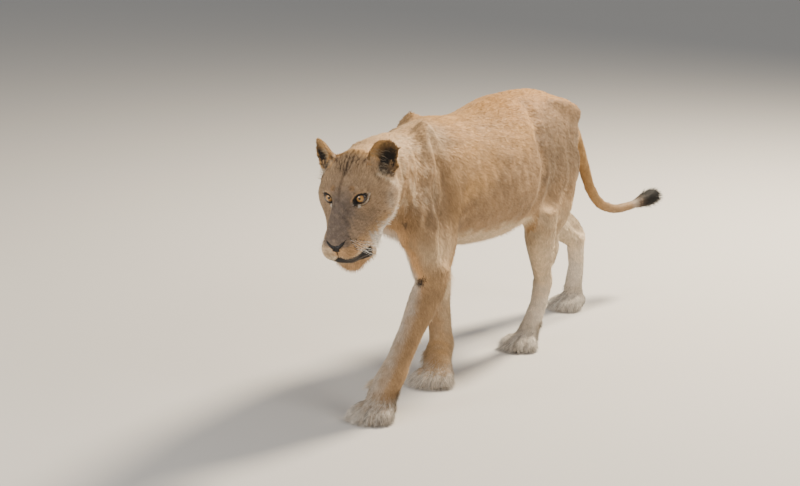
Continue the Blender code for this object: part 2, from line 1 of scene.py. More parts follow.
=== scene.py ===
import json
import math
import bpy
import bmesh
import numpy as np
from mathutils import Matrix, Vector
from mathutils.bvhtree import BVHTree

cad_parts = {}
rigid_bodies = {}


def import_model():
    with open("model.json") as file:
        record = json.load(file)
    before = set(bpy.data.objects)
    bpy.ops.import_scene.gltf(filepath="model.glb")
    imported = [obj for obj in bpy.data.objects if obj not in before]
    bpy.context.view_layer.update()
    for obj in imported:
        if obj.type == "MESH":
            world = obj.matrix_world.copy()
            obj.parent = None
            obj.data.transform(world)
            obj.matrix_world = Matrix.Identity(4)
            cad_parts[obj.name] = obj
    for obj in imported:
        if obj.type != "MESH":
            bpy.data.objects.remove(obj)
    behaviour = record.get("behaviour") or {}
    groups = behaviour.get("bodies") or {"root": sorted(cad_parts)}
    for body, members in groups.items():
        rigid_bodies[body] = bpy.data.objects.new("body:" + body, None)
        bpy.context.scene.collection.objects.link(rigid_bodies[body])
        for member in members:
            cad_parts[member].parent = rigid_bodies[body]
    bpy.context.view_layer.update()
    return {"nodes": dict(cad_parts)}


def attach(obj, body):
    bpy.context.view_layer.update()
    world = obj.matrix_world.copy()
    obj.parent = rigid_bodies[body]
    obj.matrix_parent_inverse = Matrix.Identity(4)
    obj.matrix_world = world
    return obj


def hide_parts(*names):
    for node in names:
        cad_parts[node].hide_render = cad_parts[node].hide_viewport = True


for item in list(bpy.data.objects):
    bpy.data.objects.remove(item)
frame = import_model()
nodes = frame["nodes"]
organs = ("eye_left", "eye_right", "nose")
fleshNodes = [name for name in sorted(nodes) if name not in organs]
nodeGroups = {
    "ears": ("ear_left", "ear_right"), "tail": ("tail_root", "tail_end"),
    "fore": ("foreleg_left", "foreleg_right"), "hind": ("hindleg_left", "hindleg_right"),
}
print("frame loaded:", len(nodes), "nodes")


# small helpers for meshes and arrays

def step(low, high, value):  # smooth rise from 0 at low to 1 at high; falls if low is above high
    share = np.clip((value - low) / (high - low), 0, 1)
    return share * share * (3 - 2 * share)


def bell(value, width):
    return np.exp(-(value / width) ** 2)


def shareOf(axes, rules):  # steps along named axes; At: a bell around a place; If: one of two; empty: the axis itself
    share = 1.0
    for name, limits in rules.items():
        if name.endswith("At"):
            share = share * bell(axes[name[:-2]] - limits[0], limits[1])
        elif name.endswith("If"):
            share = share * np.where(axes[name[:-2]], *limits)
        elif not limits:
            share = share * axes[name]
        for low, high in zip(limits[::2], limits[1::2]) if name in axes else ():
            share = share * step(low, high, axes[name])
    return share


def unit(vectors):
    return vectors / np.maximum(np.linalg.norm(vectors, axis=-1, keepdims=True), 1e-9)


def gapTo(points, place):
    return np.linalg.norm(points - np.array(place), axis=1)


def lineGap(spots, run):  # distance from a broken line
    best = np.full(len(spots), 9.0)
    for start, end in zip(np.array(run)[:-1], np.array(run)[1:]):
        share = np.clip((spots - start) @ (end - start) / ((end - start) @ (end - start)), 0, 1)[:, None]
        best = np.minimum(best, np.linalg.norm(spots - start - (end - start) * share, axis=1))
    return best


def blendTo(base, other, share):
    return base + (np.asarray(other) - base) * np.asarray(share)[..., None]


def readVectors(mesh, name="co"):
    values = np.empty(len(mesh.vertices) * 3, np.float32)
    mesh.vertices.foreach_get(name, values)
    return values.reshape(-1, 3).astype(float)


def writePoints(mesh, points):
    mesh.vertices.foreach_set("co", points.astype(np.float32).ravel())
    mesh.update()


def shadeSmooth(mesh):
    mesh.polygons.foreach_set("use_smooth", np.ones(len(mesh.polygons), bool))


def newObject(name, data):
    item = bpy.data.objects.new(name, data)
    bpy.context.scene.collection.objects.link(item)
    return item


def neighbourTable(mesh):
    count = len(mesh.vertices)
    ends = np.empty(len(mesh.edges) * 2, np.int32)
    mesh.edges.foreach_get("vertices", ends)
    ends = ends.reshape(-1, 2)
    source = np.concatenate([ends[:, 0], ends[:, 1]])
    target = np.concatenate([ends[:, 1], ends[:, 0]])
    order = np.argsort(source, kind="stable")
    source, target = source[order], target[order]
    place = np.arange(len(source)) - np.searchsorted(source, np.arange(count))[source]
    table = np.tile(np.arange(count)[:, None], (1, place.max() + 1))
    table[source, place] = target
    return table, np.bincount(source, minlength=count)


def spread(values, table, degree):  # mean of the neighbours of each vertex
    spare = (table.shape[1] - degree)[:, None]
    return (values[table].sum(1) - values * spare) / np.maximum(degree, 1)[:, None]


def relax(points, table, degree, rounds, share=1.0):  # smooths without shrinking
    for _ in range(rounds):
        for amount in (0.55, -0.57):
            points = points + (spread(points, table, degree) - points) * amount * share
    return points


def waves(points, size, seed, turns=5):  # soft random field, about -1 to 1, with bumps of the given size
    dice = np.random.default_rng(seed)
    total = np.zeros(len(points))
    for _ in range(turns):
        axis = unit(dice.normal(size=3)) * 2 * math.pi / (size * dice.uniform(0.7, 1.5))
        total += np.sin(points @ axis + dice.uniform(0, 6.3))
    return total / turns ** 0.5 / 1.1


def isIn(owner, *names):
    wanted = [node for name in names for node in nodeGroups.get(name, (name,))]
    return np.isin(owner, [fleshNodes.index(node) for node in wanted])


# the head's own frame: x to the left, y back, z up, from the places of the eyes and the nose pad

headPlan = {"eye": (0.048, 0.0076, 0.006), "nose": (0.0, -0.1316, -0.0573)}


def findHeadFrame():
    left, right, nose = (np.unique(readVectors(nodes[name].data).round(6), axis=0).mean(0) for name in organs)
    across = unit(left - right)
    toNose = nose - (left + right) / 2
    toNose = unit(toNose - across * (toNose @ across))
    turned = np.cross(across, toNose)
    _, backward, upward = np.array(headPlan["eye"]) - headPlan["nose"]
    fall = math.atan2(upward, backward)
    back = -math.cos(fall) * toNose + math.sin(fall) * turned
    up = -math.sin(fall) * toNose - math.cos(fall) * turned
    origin = (left + right) / 2 - back * headPlan["eye"][1] - up * headPlan["eye"][2]
    return np.array([across, back, up]), origin


headAxes, headOrigin = findHeadFrame()


def toHead(points):
    return (points - headOrigin) @ headAxes.T


def fromHead(points):
    return np.asarray(points) @ headAxes + headOrigin


def mirrored(spot):  # both sides of the head as one
    return np.abs(spot) * (1, 0, 0) + spot * (0, 1, 1)


# camera, floor and soft light

viewPlan = {  # aim is from the head
    "aim": (-0.4324, 0.8587, -0.3408), "azimuth": 35.91, "elevation": 12.79, "distance": 6.0,
    "lens": 79.1, "sensor": 36,
}
studioPlan = {
    "sky": (0.93, 0.94, 0.95, 1), "skyPower": 0.36,
    "floor": (0.62, 0.60, 0.57, 1), "floorRoughness": 0.9, "floorHalf": 40,
    "lampAim": (0, -0.2, 0.5),
}
lampPlans = {
    "key": {"place": (1.0, 3.6, 4.4), "size": 1.3, "energy": 950, "color": (1.0, 0.86, 0.66)},
    "side": {"place": (4.4, 0.2, 3.0), "size": 2.4, "energy": 115, "color": (1.0, 0.94, 0.86)},
    "front": {"place": (-1.6, -5.0, 1.9), "size": 2.6, "energy": 150, "color": (1.0, 0.95, 0.89)},
}


def aimAlong(item, way):
    item.rotation_euler = way.to_track_quat("-Z", "Y").to_euler()


def setCamera():
    azimuth, elevation = math.radians(viewPlan["azimuth"]), math.radians(viewPlan["elevation"])
    flat = math.cos(elevation)
    back = Vector((math.sin(azimuth) * flat, -math.cos(azimuth) * flat, math.sin(elevation)))
    camera = newObject("camera", bpy.data.cameras.new("camera"))
    camera.location = Vector(headOrigin) + Vector(viewPlan["aim"]) + back * viewPlan["distance"]
    aimAlong(camera, -back)
    camera.data.lens = viewPlan["lens"]
    camera.data.sensor_width = viewPlan["sensor"]
    bpy.context.scene.camera = camera


def setStudio():
    mesh = bpy.data.meshes.new("floor")
    half = studioPlan["floorHalf"]
    mesh.from_pydata([(-half, -half, 0), (half, -half, 0), (half, half, 0), (-half, half, 0)], [], [(0, 1, 2, 3)])
    floor = newObject("floor", mesh)
    material = bpy.data.materials.new("paleFloor")
    material.use_nodes = True
    shader = material.node_tree.nodes["Principled BSDF"]
    shader.inputs["Base Color"].default_value = studioPlan["floor"]
    shader.inputs["Roughness"].default_value = studioPlan["floorRoughness"]
    mesh.materials.append(material)
    for name, plan in lampPlans.items():
        lamp = newObject(name, bpy.data.lights.new(name, "AREA"))
        lamp.data.shape = "DISK"
        for setting in ("size", "energy", "color"):
            setattr(lamp.data, setting, plan[setting])
        lamp.location = plan["place"]
        aimAlong(lamp, Vector(studioPlan["lampAim"]) - Vector(plan["place"]))
    world = bpy.data.worlds.new("studio")
    world.use_nodes = True
    world.node_tree.nodes["Background"].inputs["Color"].default_value = studioPlan["sky"]
    world.node_tree.nodes["Background"].inputs["Strength"].default_value = studioPlan["skyPower"]
    bpy.context.scene.world = world


setCamera()
setStudio()
print("camera and studio set")


# the skin: every node of flesh as one surface, drawn in by the depth of the coat

skinPlan = {
    "swell": 0.0026, "organSwell": 0.2, "voxel": 0.0086, "bodyRounds": 16, "headRounds": 4, "fineRounds": 5,
    "lengthRounds": 15, "headCentre": (0, -0.01, -0.03), "headReach": 0.205, "headBack": 0.12, "eyeReach": 0.038,
    "muzzle": (0.075, -0.055, -0.03), "pawTop": 0.075,
}


def joinedFlesh():
    whole = bmesh.new()
    for name in (*fleshNodes, *organs):
        part = bmesh.new()
        part.from_mesh(nodes[name].data)
        bmesh.ops.remove_doubles(part, verts=part.verts, dist=1e-5)
        part.normal_update()
        for vert in part.verts:
            vert.co += vert.normal * skinPlan["swell"] * (skinPlan["organSwell"] if name in organs else 1)
        mesh = bpy.data.meshes.new("part")
        part.to_mesh(mesh)
        part.free()
        whole.from_mesh(mesh)
        bpy.data.meshes.remove(mesh)
    mesh = bpy.data.meshes.new("flesh")
    whole.to_mesh(mesh)
    whole.free()
    holder = newObject("flesh", mesh)
    remesh = holder.modifiers.new("remesh", "REMESH")
    remesh.mode = "VOXEL"
    remesh.voxel_size = skinPlan["voxel"]
    made = bpy.data.meshes.new_from_object(holder.evaluated_get(bpy.context.evaluated_depsgraph_get()))
    bpy.data.objects.remove(holder)
    return made


def nodeFinder():  # tells which node of flesh a point of the skin stands for
    points, faces, owner, start = [], [], [], 0
    for index, name in enumerate(fleshNodes):
        mesh = nodes[name].data
        points.append(readVectors(mesh))
        faces += [tuple(start + v for v in face.vertices) for face in mesh.polygons]
        owner += [index] * len(mesh.polygons)
        start += len(mesh.vertices)
    tree = BVHTree.FromPolygons(np.concatenate(points).tolist(), faces)
    return lambda spots: np.array([owner[tree.find_nearest(p)[2]] for p in spots.tolist()])


def splitNear(mesh, chosen):  # halves the faces whose middles are chosen
    work = bmesh.new()
    work.from_mesh(mesh)
    marks = chosen(np.array([face.calc_center_median() for face in work.faces]))
    edges = {edge for face, mark in zip(work.faces, marks) if mark for edge in face.edges}
    bmesh.ops.subdivide_edges(work, edges=list(edges), cuts=1, use_grid_fill=True)
    work.to_mesh(mesh)
    work.free()


def nearHead(points):
    spot = toHead(points)
    return (spot[:, 1] < skinPlan["headBack"]) & (gapTo(spot, skinPlan["headCentre"]) < skinPlan["headReach"])


def nearFace(points):
    spot = mirrored(toHead(points))
    wide, back, high = skinPlan["muzzle"]
    muzzle = (spot[:, 1] < back) & (spot[:, 0] < wide) & (spot[:, 2] < high)
    return (gapTo(spot, headPlan["eye"]) < skinPlan["eyeReach"]) | muzzle


def nearHeadOrPaw(points):
    return nearHead(points) | (points[:, 2] < skinPlan["pawTop"])


# the lie of the coat: which way the hair runs at each point of the skin

flowPlan = {
    "pawTurn": {"foreleg_left": 8, "foreleg_right": 14, "hindleg_left": 10, "hindleg_right": -4},
    "down": (0.0, 0.22, -1.0), "chest": (0.0, 0.35, -1.0), "neck": (-0.35, 0.95, -0.30), "ear": (0.34, 0.40, 0.80),
    "legs": {"hind": ((0.0, 0.75, -0.8), 0.62, 0.42), "fore": ((0.0, 0.6, -0.9), 0.66, 0.46)},
}


def tailLine():  # middle of the tail at each distance back
    points = np.concatenate([readVectors(nodes[name].data) for name in nodeGroups["tail"]])
    back = np.linspace(points[:, 1].min() + 0.03, points[:, 1].max() - 0.01, 26)
    near = bell(points[None, :, 1] - back[:, None], 0.022)
    return back, near @ points / near.sum(1, keepdims=True)


tailBack, tailMiddle = tailLine()
tailRun = unit(np.gradient(tailMiddle, axis=0))


def coatFlow(points, normals, owner):
    y, z = points[:, 1], points[:, 2]
    flow = np.stack([0 * y, 0 * y + 1, -0.25 - 0.55 * np.abs(normals[:, 0])], 1)
    for group, (way, low, high) in flowPlan["legs"].items():
        leg = isIn(owner, group)
        flow[leg] = blendTo(np.array(way), flowPlan["down"], step(low, high, z[leg]))
    chest = step(-0.50, -0.66, y) * step(0.60, 0.50, z) * ~isIn(owner, "fore", "hind")
    flow = blendTo(flow, flowPlan["chest"], chest)
    flow[isIn(owner, "neck")] = flowPlan["neck"]
    for name, turn in flowPlan["pawTurn"].items():
        toes = np.array([math.sin(math.radians(turn)), -math.cos(math.radians(turn)), -0.35])
        paw = isIn(owner, name)
        flow[paw] = blendTo(flow[paw], toes, step(0.13, 0.06, z[paw]))
    tail = isIn(owner, "tail")
    for axis in range(3):
        flow[tail, axis] = np.interp(y[tail], tailBack, tailRun[:, axis])
    head = isIn(owner, "head", "ears")
    spot = toHead(points[head])
    away = unit(spot - (0, -0.15, -0.045))  # radiates from the nose
    away[:, 2] += 0.35 * step(-0.02, 0.03, spot[:, 2]) - 0.15
    ear = isIn(owner[head], "ears")
    away[ear] = np.array(flowPlan["ear"]) * np.where(spot[ear, :1] < 0, (-1, 1, 1), (1, 1, 1))
    flow[head] = unit(away) @ headAxes
    return unit(flow)


# sculpting in the head's frame: lids, brows, lips, nostril wings, whisker pads, ears

eyePlan = {
    "ball": 0.0185, "halfWide": 0.0142, "halfHigh": 0.0109, "tilt": 14, "facing": (0.24, -0.93, 0.27), "lid": 0.0020,
    "gaze": (0.10, -0.86, 0.46), "iris": 0.0116, "pupil": 0.0036, "bulge": 0.0013, "sides": 72,
    "inner": (0.40, 0.215, 0.062), "outer": (0.27, 0.130, 0.036),
}
mouthPlan = {
    "front": (-0.139, -0.1045), "corner": (-0.077, -0.124), "halfFront": 0.0160, "halfCorner": 0.0185,
    "farHang": 0.007,
}
earPlan = {"axis": (0.34, 0.48, 0.74), "root": (0.074, 0.108, 0.026), "opening": (0.62, -0.62, 0.34)}


def lidSpot(spot, side):  # how far out from the middle of the opening: 1 is the lid's edge
    forward = unit(np.array(eyePlan["facing"]) * (side, 1, 1))
    up = unit(np.array([0, 0, 1.0]) - forward * forward[2])
    out = np.cross(forward, up)
    out = out * np.sign(out[0] * side)
    tilt = math.radians(eyePlan["tilt"])
    out, up = out * math.cos(tilt) + up * math.sin(tilt), up * math.cos(tilt) - out * math.sin(tilt)
    ray = spot - np.array(headPlan["eye"]) * (side, 1, 1)
    wide, high, ahead = ray @ out / eyePlan["halfWide"], ray @ up / eyePlan["halfHigh"], ray @ forward
    point = 1 + 0.20 * step(0.3, 1.1, -wide)  # the inner corner is drawn out
    ring = np.sqrt((wide / point) ** 2 + high ** 2 + 0.25 * (wide / point) ** 2 * high ** 2)
    return np.where(ahead < 0.0, 9.0, ring), wide, high, np.linalg.norm(ray, axis=1), ray


def mouthSpot(spot):  # height above the line between the lips, and how far back along it from 0 to 1
    (y0, z0), (y1, z1) = mouthPlan["front"], mouthPlan["corner"]
    along = (spot[:, 1] - y0) / (y1 - y0)
    line = z0 + (z1 - z0) * along
    half = mouthPlan["halfFront"] + (mouthPlan["halfCorner"] - mouthPlan["halfFront"]) * step(0.05, 0.80, along)
    far = step(0.002, -0.020, spot[:, 0])  # the upper lip hangs lower on her right
    return spot[:, 2] - line + mouthPlan["farHang"] * far, along, half * (1 - 0.45 * far)


foreheadFolds = (  # distance from the middle, lean, slant of the fold and how dark it is
    (0.0005, 0.00, 0.0, 1.0), (0.0090, 0.10, 0.3, 1.0), (0.0185, 0.16, 0.5, 1.0),
    (0.0275, 0.22, 0.9, 0.95), (0.0375, 0.30, 1.3, 0.8),
)


def foldMarks(spot):  # the folds of loose skin between the ears, uneven in width and length
    x, y, z = spot.T
    bend = 0.0030 * waves(spot * (1, 0.6, 1), 0.030, 41)
    total, dark = np.zeros(len(x)), np.zeros(len(x))
    for index, (place, lean, late, strong) in enumerate(foreheadFolds):
        for side in (1, -1):
            line = x * side - place - lean * (y - 0.06) + bend
            breaks = step(-1.1, -0.1, waves(spot, 0.040, 50 + index * 2 + side))
            reach = step(0.022 + 0.020 * late, 0.050 + 0.020 * late, y) * step(0.148, 0.126, y) * (z > 0.0) * breaks
            total = np.maximum(total, bell(line, 0.0030) * reach)
            # the darker line along each fold is painted shade in the crease
            dark = np.maximum(dark, strong * bell(line, 0.0025) * reach)
    return total, dark


def earFrame():  # along the ear, across its cup and out of the cup
    axis = unit(np.array(earPlan["axis"]))
    opening = np.array(earPlan["opening"])
    opening = unit(opening - axis * (opening @ axis))
    return axis, np.cross(axis, opening), opening


def earSpot(spot):  # places along, across and out of the ear's cup
    return (np.stack([np.abs(spot[:, 0]), spot[:, 1], spot[:, 2]], 1) - earPlan["root"]) @ np.array(earFrame()).T


headRelief = (  # height and where
    (0.0016, {"lipGapAt": (0.002, 0.0035), "y": (-0.045, -0.060), "z": (-0.07, -0.08)}),  # rolled lips
    (0.0070, {"aboveAt": (-0.004, 0.013), "along": (0.35, 0.8, 1.35, 1.05)}),  # flews
    (-0.0030, {"xAt": (0, 0.0022), "z": (-0.100, -0.086, -0.060, -0.066), "front": ()}),  # groove under the nose
    (0.0024, {"wideAt": (0.030, 0.018), "zAt": (-0.083, 0.018), "y": (-0.085, -0.115)}),  # whisker pads
    (0.0010, {"wideAt": (0.033, 0.006), "zAt": (-0.048, 0.008), "y": (-0.10, -0.12)}),  # nostril wings
    (-0.0005, {"wideAt": (0.047, 0.006), "y": (-0.075, -0.095), "z": (-0.10, -0.075)}),
    (0.0095, {"zAt": (-0.142, 0.020), "y": (-0.045, -0.065, -0.146, -0.130), "wide": (0.012, 0.034)}),  # jowl
    (-0.0060, {"earBowl": (1.0, 0.5), "rear": ()}),
    (0.0020, {"boneAt": (0, 0.012), "wide": (0.06, 0.085), "y": (-0.02, 0.02, 0.09, 0.05)}),  # cheekbone
    (-0.0018, {"zAt": (-0.035, 0.016), "wideAt": (0.064, 0.014), "yAt": (-0.035, 0.022)}),
    (0.0016, {"wideAt": (0.030, 0.010), "yAt": (0.002, 0.012), "z": (0.02, 0.03)}),  # brow
    (-0.0024, {"xAt": (0, 0.010), "y": (-0.03, 0.0, 0.10, 0.06), "top": ()}),
    (-0.0026, {"folds": ()}),
)


def sculptHead(spot, normal):
    for side in (1, -1):
        ring, wide, high, reach, ray = lidSpot(spot, side)
        near = step(0.042, 0.032, reach)
        inside, rim = eyePlan["ball"] - 0.004, eyePlan["ball"] + eyePlan["lid"]
        aim = np.where(ring < 0.98, inside, inside + (rim - inside) * step(0.96, 1.08, ring))
        fold = -0.0018 * bell(ring - 1.85, 0.14) * step(0.0, 0.5, high)
        fold -= 0.0013 * bell(ring - 1.70, 0.13) * step(0.0, -0.5, high)
        roll = 0.0010 * bell(ring - 1.28, 0.16)
        wanted = aim + (np.maximum(reach, rim) - aim) * step(1.10, 2.1, ring) + fold + roll
        spot = spot + unit(ray) * ((wanted - reach) * near * (ring < 8))[:, None]
        duct = bell(wide + 1.30, 0.25) * bell(high + 0.25, 0.25) * near
        spot = spot - normal * 0.0022 * duct[:, None]
    x, y, z = spot.T
    above, along, half = mouthSpot(spot)
    rise, cupWide, _ = earSpot(spot).T
    axes = {
        "x": x, "y": y, "z": z, "wide": np.abs(x), "above": above, "along": along, "lipGap": np.abs(above) - half,
        "front": y < -0.10, "rear": y > 0.07, "top": z > 0.0, "bone": z + 0.012 + 0.25 * (y - 0.03),
        "earBowl": np.hypot((cupWide - 0.014) / 0.030, (rise - 0.005) / 0.022), "folds": foldMarks(spot)[0],
    }
    spot = spot + normal * sum(height * shareOf(axes, rules) for height, rules in headRelief)[:, None]
    x, y, z = spot.T
    jaw = step(-0.114, -0.128, z) * step(-0.050, -0.085, y)
    aside = 0.012 * step(0.0, -0.020, x) - 0.006 * step(0.015, 0.035, x)
    low = -0.007 - 0.009 * bell(np.abs(x) - 0.026, 0.016)
    shift = np.stack([aside, np.full(len(x), 0.016), low], 1)  # sets the chin back
    return spot + shift * jaw[:, None]


# relief of the body: edges of the muscles, folds of skin, toes

bodyFolds = (  # run of each groove as places back and up, its side of the body, depth and width
    (((0.01, 0.86), (-0.022, 0.76), (-0.015, 0.68), (-0.044, 0.60), (-0.067, 0.54), (-0.10, 0.46)), 1, 0.0075, 0.020),
    (((-0.55, 0.82), (-0.53, 0.72), (-0.512, 0.60), (-0.508, 0.52), (-0.52, 0.44)), 1, 0.0080, 0.020),
    (((-0.80, 0.80), (-0.765, 0.70), (-0.74, 0.62), (-0.71, 0.54)), 1, 0.0045, 0.018),
    (((-0.66, 0.84), (-0.665, 0.74), (-0.655, 0.66)), 1, 0.0035, 0.016),
    (((-0.66, 0.60), (-0.61, 0.54), (-0.585, 0.47)), 1, 0.0040, 0.016),
    (((0.17, 0.80), (0.20, 0.68), (0.245, 0.56), (0.30, 0.46)), -1, 0.0070, 0.020),
    (((-0.40, 0.82), (-0.30, 0.68), (-0.215, 0.56), (-0.175, 0.45)), -1, 0.0075, 0.020),
    (((-0.72, 0.80), (-0.64, 0.70), (-0.58, 0.60), (-0.53, 0.52)), -1, 0.0045, 0.018),
    (((0.12, 0.74), (0.13, 0.62), (0.16, 0.50), (0.19, 0.38)), 1, 0.0024, 0.024),
)
bodyRelief = {
    "ribs": (0.0011, {"y": (-0.46, -0.38, -0.04, -0.12), "z": (0.5, 0.56, 0.78, 0.70), "trunk": ()}),
    "spine": (1.0, {"xAt": (-0.024, 0.014), "up": (0.6, 0.9), "y": (-0.60, -0.5), "trunk": ()}),
    "loose": (0.0022, {"y": (-0.42, -0.55), "z": (0.46, 0.58), "torso": ()}),
    "soft": (0.0016, {"z": (0.35, 0.5), "torso": ()}),
}
bodySwells = (  # middle, stretch back, height and size of shoulder blade, side of the tail's root and breast
    ((-0.062, -0.385, 0.868), 1.5, 0.012, 0.034), ((0.045, 0.350, 0.752), 1.5, 0.014, 0.030),
    ((-0.146, -0.475, 0.485), 1.0, -0.020, 0.045),
)
pawPlan = {"top": 0.09, "toes": 0.07, "gaps": (-0.25, 0.0, 0.25), "stretch": 0.96, "depth": 0.0048}


def pawFrame(name):  # a paw's directions ahead and aside, its front, its middle and its breadth
    points = readVectors(nodes[name].data)
    points = points[points[:, 2] < pawPlan["top"]]
    turn = math.radians(flowPlan["pawTurn"][name])
    ahead, aside = np.array([math.sin(turn), -math.cos(turn)]), np.array([math.cos(turn), math.sin(turn)])
    along, across = points[:, :2] @ ahead, points[:, :2] @ aside
    toes = across[along > along.max() - pawPlan["toes"]]
    return ahead, aside, along.max(), (toes.min() + toes.max()) / 2, toes.max() - toes.min()


pawFrames = {name: pawFrame(name) for name in flowPlan["pawTurn"]}


def pawSpot(points, name):  # places along and across one paw, from the middle of its front
    ahead, aside, front, middle, breadth = pawFrames[name]
    return points[:, :2] @ ahead - front, points[:, :2] @ aside - middle, breadth


def toeGrooves(points, owner, width, back):  # points of each paw and how near they are to a gap between toes
    for name in pawFrames:
        chosen = isIn(owner, name) & (points[:, 2] < pawPlan["top"])
        along, across, breadth = pawSpot(points[chosen], name)
        for gap in pawPlan["gaps"]:
            yield chosen, bell(across - gap * breadth * pawPlan["stretch"], width) * step(back, -0.050, along)


def sculptBody(points, normals, owner):
    x, y, z = points.T
    axes = {
        "x": x, "y": y, "z": z, "up": normals[:, 2], "trunk": isIn(owner, "trunk"),
        "torso": ~isIn(owner, "head", "ears", "tail"),
    }
    fields = {
        "ribs": np.sin((y + 0.25 * z) * 2 * math.pi / 0.052),
        "spine": 0.0030 + 0.0018 * np.sin(y * 2 * math.pi / 0.045),
        "loose": waves(points * (1.0, 1.0, 0.32), 0.055, 33), "soft": waves(points * (1.0, 1.0, 0.5), 0.035, 34),
    }
    push = np.zeros(len(points))
    for run, side, depth, width in bodyFolds:
        gap = lineGap(points[:, 1:], run)
        facing = step(0.15, 0.6, normals[:, 0] * side) * axes["torso"]
        push += (0.35 * bell(gap - 1.9 * width, width) - bell(gap, width)) * depth * facing
    for name, (height, rules) in bodyRelief.items():
        push += height * fields[name] * shareOf(axes, rules)
    for middle, stretch, height, size in bodySwells:
        push += height * bell(np.linalg.norm((points - middle) / (1, stretch, 1), axis=1), size)
    for chosen, groove in toeGrooves(points, owner, 0.0042, -0.085):
        push[chosen] -= pawPlan["depth"] * groove * step(0.004, 0.012, z[chosen])
    return push


# lengths of hair and the depth of the skin below the tips

coatPlan = {
    "trunk": 0.018, "neck": 0.021, "head": 0.0125, "face": 0.0055, "ears": 0.006, "tail": 0.0125,
    "legs": {"fore": 0.0145, "hind": 0.0150}, "paw": 0.0075, "depth": 0.27,
}


def hairLength(points, owner):
    length = np.full(len(points), coatPlan["trunk"])
    for name in ("neck", "tail", "ears"):
        length[isIn(owner, name)] = coatPlan[name]
    for group, full in coatPlan["legs"].items():
        part = isIn(owner, group)
        height = points[part, 2]
        low = coatPlan["paw"] + (full - coatPlan["paw"]) * step(0.05, 0.22, height)
        length[part] = low + (coatPlan["trunk"] - full) * step(0.35, 0.6, height)
    part = isIn(owner, "head")
    x, y, z = toHead(points[part]).T
    back = step(-0.02, 0.10, y + 0.5 * np.maximum(-z - 0.10, 0) + 0.3 * np.maximum(np.abs(x) - 0.06, 0))
    length[part] = coatPlan["face"] + (coatPlan["head"] - coatPlan["face"]) * back
    return length


# colours of the coat, shared by the skin and every tuft

coatColours = {
    "sand": (0.450, 0.280, 0.140), "gold": (0.560, 0.322, 0.125), "umber": (0.235, 0.150, 0.084),
    "grey": (0.185, 0.135, 0.098), "tan": (0.470, 0.270, 0.125), "cream": (0.640, 0.500, 0.340),
    "white": (0.680, 0.620, 0.540), "dark": (0.045, 0.028, 0.018), "black": (0.009, 0.008, 0.008),
    "smoke": (0.360, 0.310, 0.260), "lip": (0.012, 0.011, 0.013), "inner": (0.190, 0.110, 0.052),
    "pad": (0.463, 0.2735, 0.13025),
}
paint = {name: np.array(value) for name, value in coatColours.items()}
whiskerPlan = {
    "first": (-0.113, -0.045), "next": (0.0088, -0.0100), "row": (-0.0035, -0.0095), "rows": 4, "perRow": 5,
    "rings": 8, "sides": 4, "radius": 0.00042, "tone": (0.78, 0.76, 0.72),
}


def paintMarks(colour, axes, marks):
    for tone, tint, strength, rules in marks:
        colour = blendTo(colour, paint[tone] * tint, strength * shareOf(axes, rules))
    return colour


def nearSpot(spot, place, size, soft=0.6):  # both sides of the head at once
    return step(size, soft * size, gapTo(mirrored(spot), place))


def whiskerPlaces():  # back and height of every follicle on one pad
    first, along, down = (np.array(whiskerPlan[name]) for name in ("first", "next", "row"))
    places = [first + row * down + column * along
              for row in range(whiskerPlan["rows"]) for column in range(whiskerPlan["perRow"])]
    return [(back, rise) for back, rise in places if rise > -0.104 + 0.10 * (back + 0.10)]


faceMarks = (  # paint, its tint, its strength and where
    ("umber", 1, 0.34, {"wide": (0.115, 0.0), "y": (0.10, 0.0), "z": (-0.06, 0.0)}),
    ("gold", 1.25, 0.85, {"y": (0.100, 0.122), "z": (0.0, 0.03)}),  # crown
    ("grey", 0.8, 0.85, {"wideRough": (0.052, 0.028), "y": (0.03, -0.04), "z": (-0.078, -0.052)}),  # bridge
    ("umber", 1, 0.60, {"y": (0.01, -0.03), "wide": (0.030, 0.050), "z": (-0.012, -0.03, -0.085, -0.06)}),
    ("umber", 1, 0.35, {"y": (0.05, 0.0), "wide": (0.055, 0.075), "z": (0.005, -0.02, -0.10, -0.07)}),  # cheek
    ("umber", 1, 0.35, {"rough": (0.2, 1.0), "z": (-0.09, -0.05)}),
    ("white", 1, 0.90, {"jaw": (-0.074, -0.110), "y": (-0.085, -0.045)}),
    ("cream", 1, 0.45, {"wide": (0.092, 0.112), "z": (0.0, -0.03), "y": (-0.01, 0.02), "wideAt": (0.108, 0.008)}),
)
muzzleMarks = (
    ("pad", 1, 0.92, {"y": (-0.066, -0.088), "padTop": (-0.050, -0.062)}),
    # pale whisker pad, with painted light on her right side
    ("cream", 1, 1, {"y": (-0.066, -0.088), "padTop": (-0.050, -0.062), "padPale": ()}),
    ("tan", 1, 0.80, {"z": (-0.122, -0.134), "y": (-0.045, -0.085)}),  # chin
    ("cream", 1, 0.55, {"z": (-0.128, -0.140), "y": (-0.10, -0.07)}),
    ("dark", 2.2, 0.62, {"stripe": (), "y": (-0.060, -0.01, 0.080, 0.060)}),
    # painted shade along the crease at the base of the ear
    ("dark", 2, 0.55, {"earCrease": (), "top": ()}),
    # painted shade in the forehead folds
    ("dark", 1, 0.95, {"folds": ()}),
)
lidMarks = (
    ("dark", 1, 0.70, {"ringAt": (1.95, 0.13), "low": (), "near": ()}),
    ("white", 1, 0.85, {"ringAt": (1.62, 0.13), "low": (), "near": ()}),
    ("tan", 1, 0.45, {"ringAt": (1.75, 0.28), "high": (0.2, 0.6), "across": (0.7, 0.1), "near": ()}),
    ("black", 1, 0.85, {"acrossAt": (1.35, 0.32), "highAt": (0.15, 0.20), "near": ()}),
    ("black", 1, 1, {"rim": (1.46, 1.30), "near": ()}),
)
browSpots = (("tan", 0.75, 0.80, (0.029, 0.002, 0.039), 0.011), ("dark", 1.6, 0.55, (0.0266, -0.0008, 0.0394), 0.006))
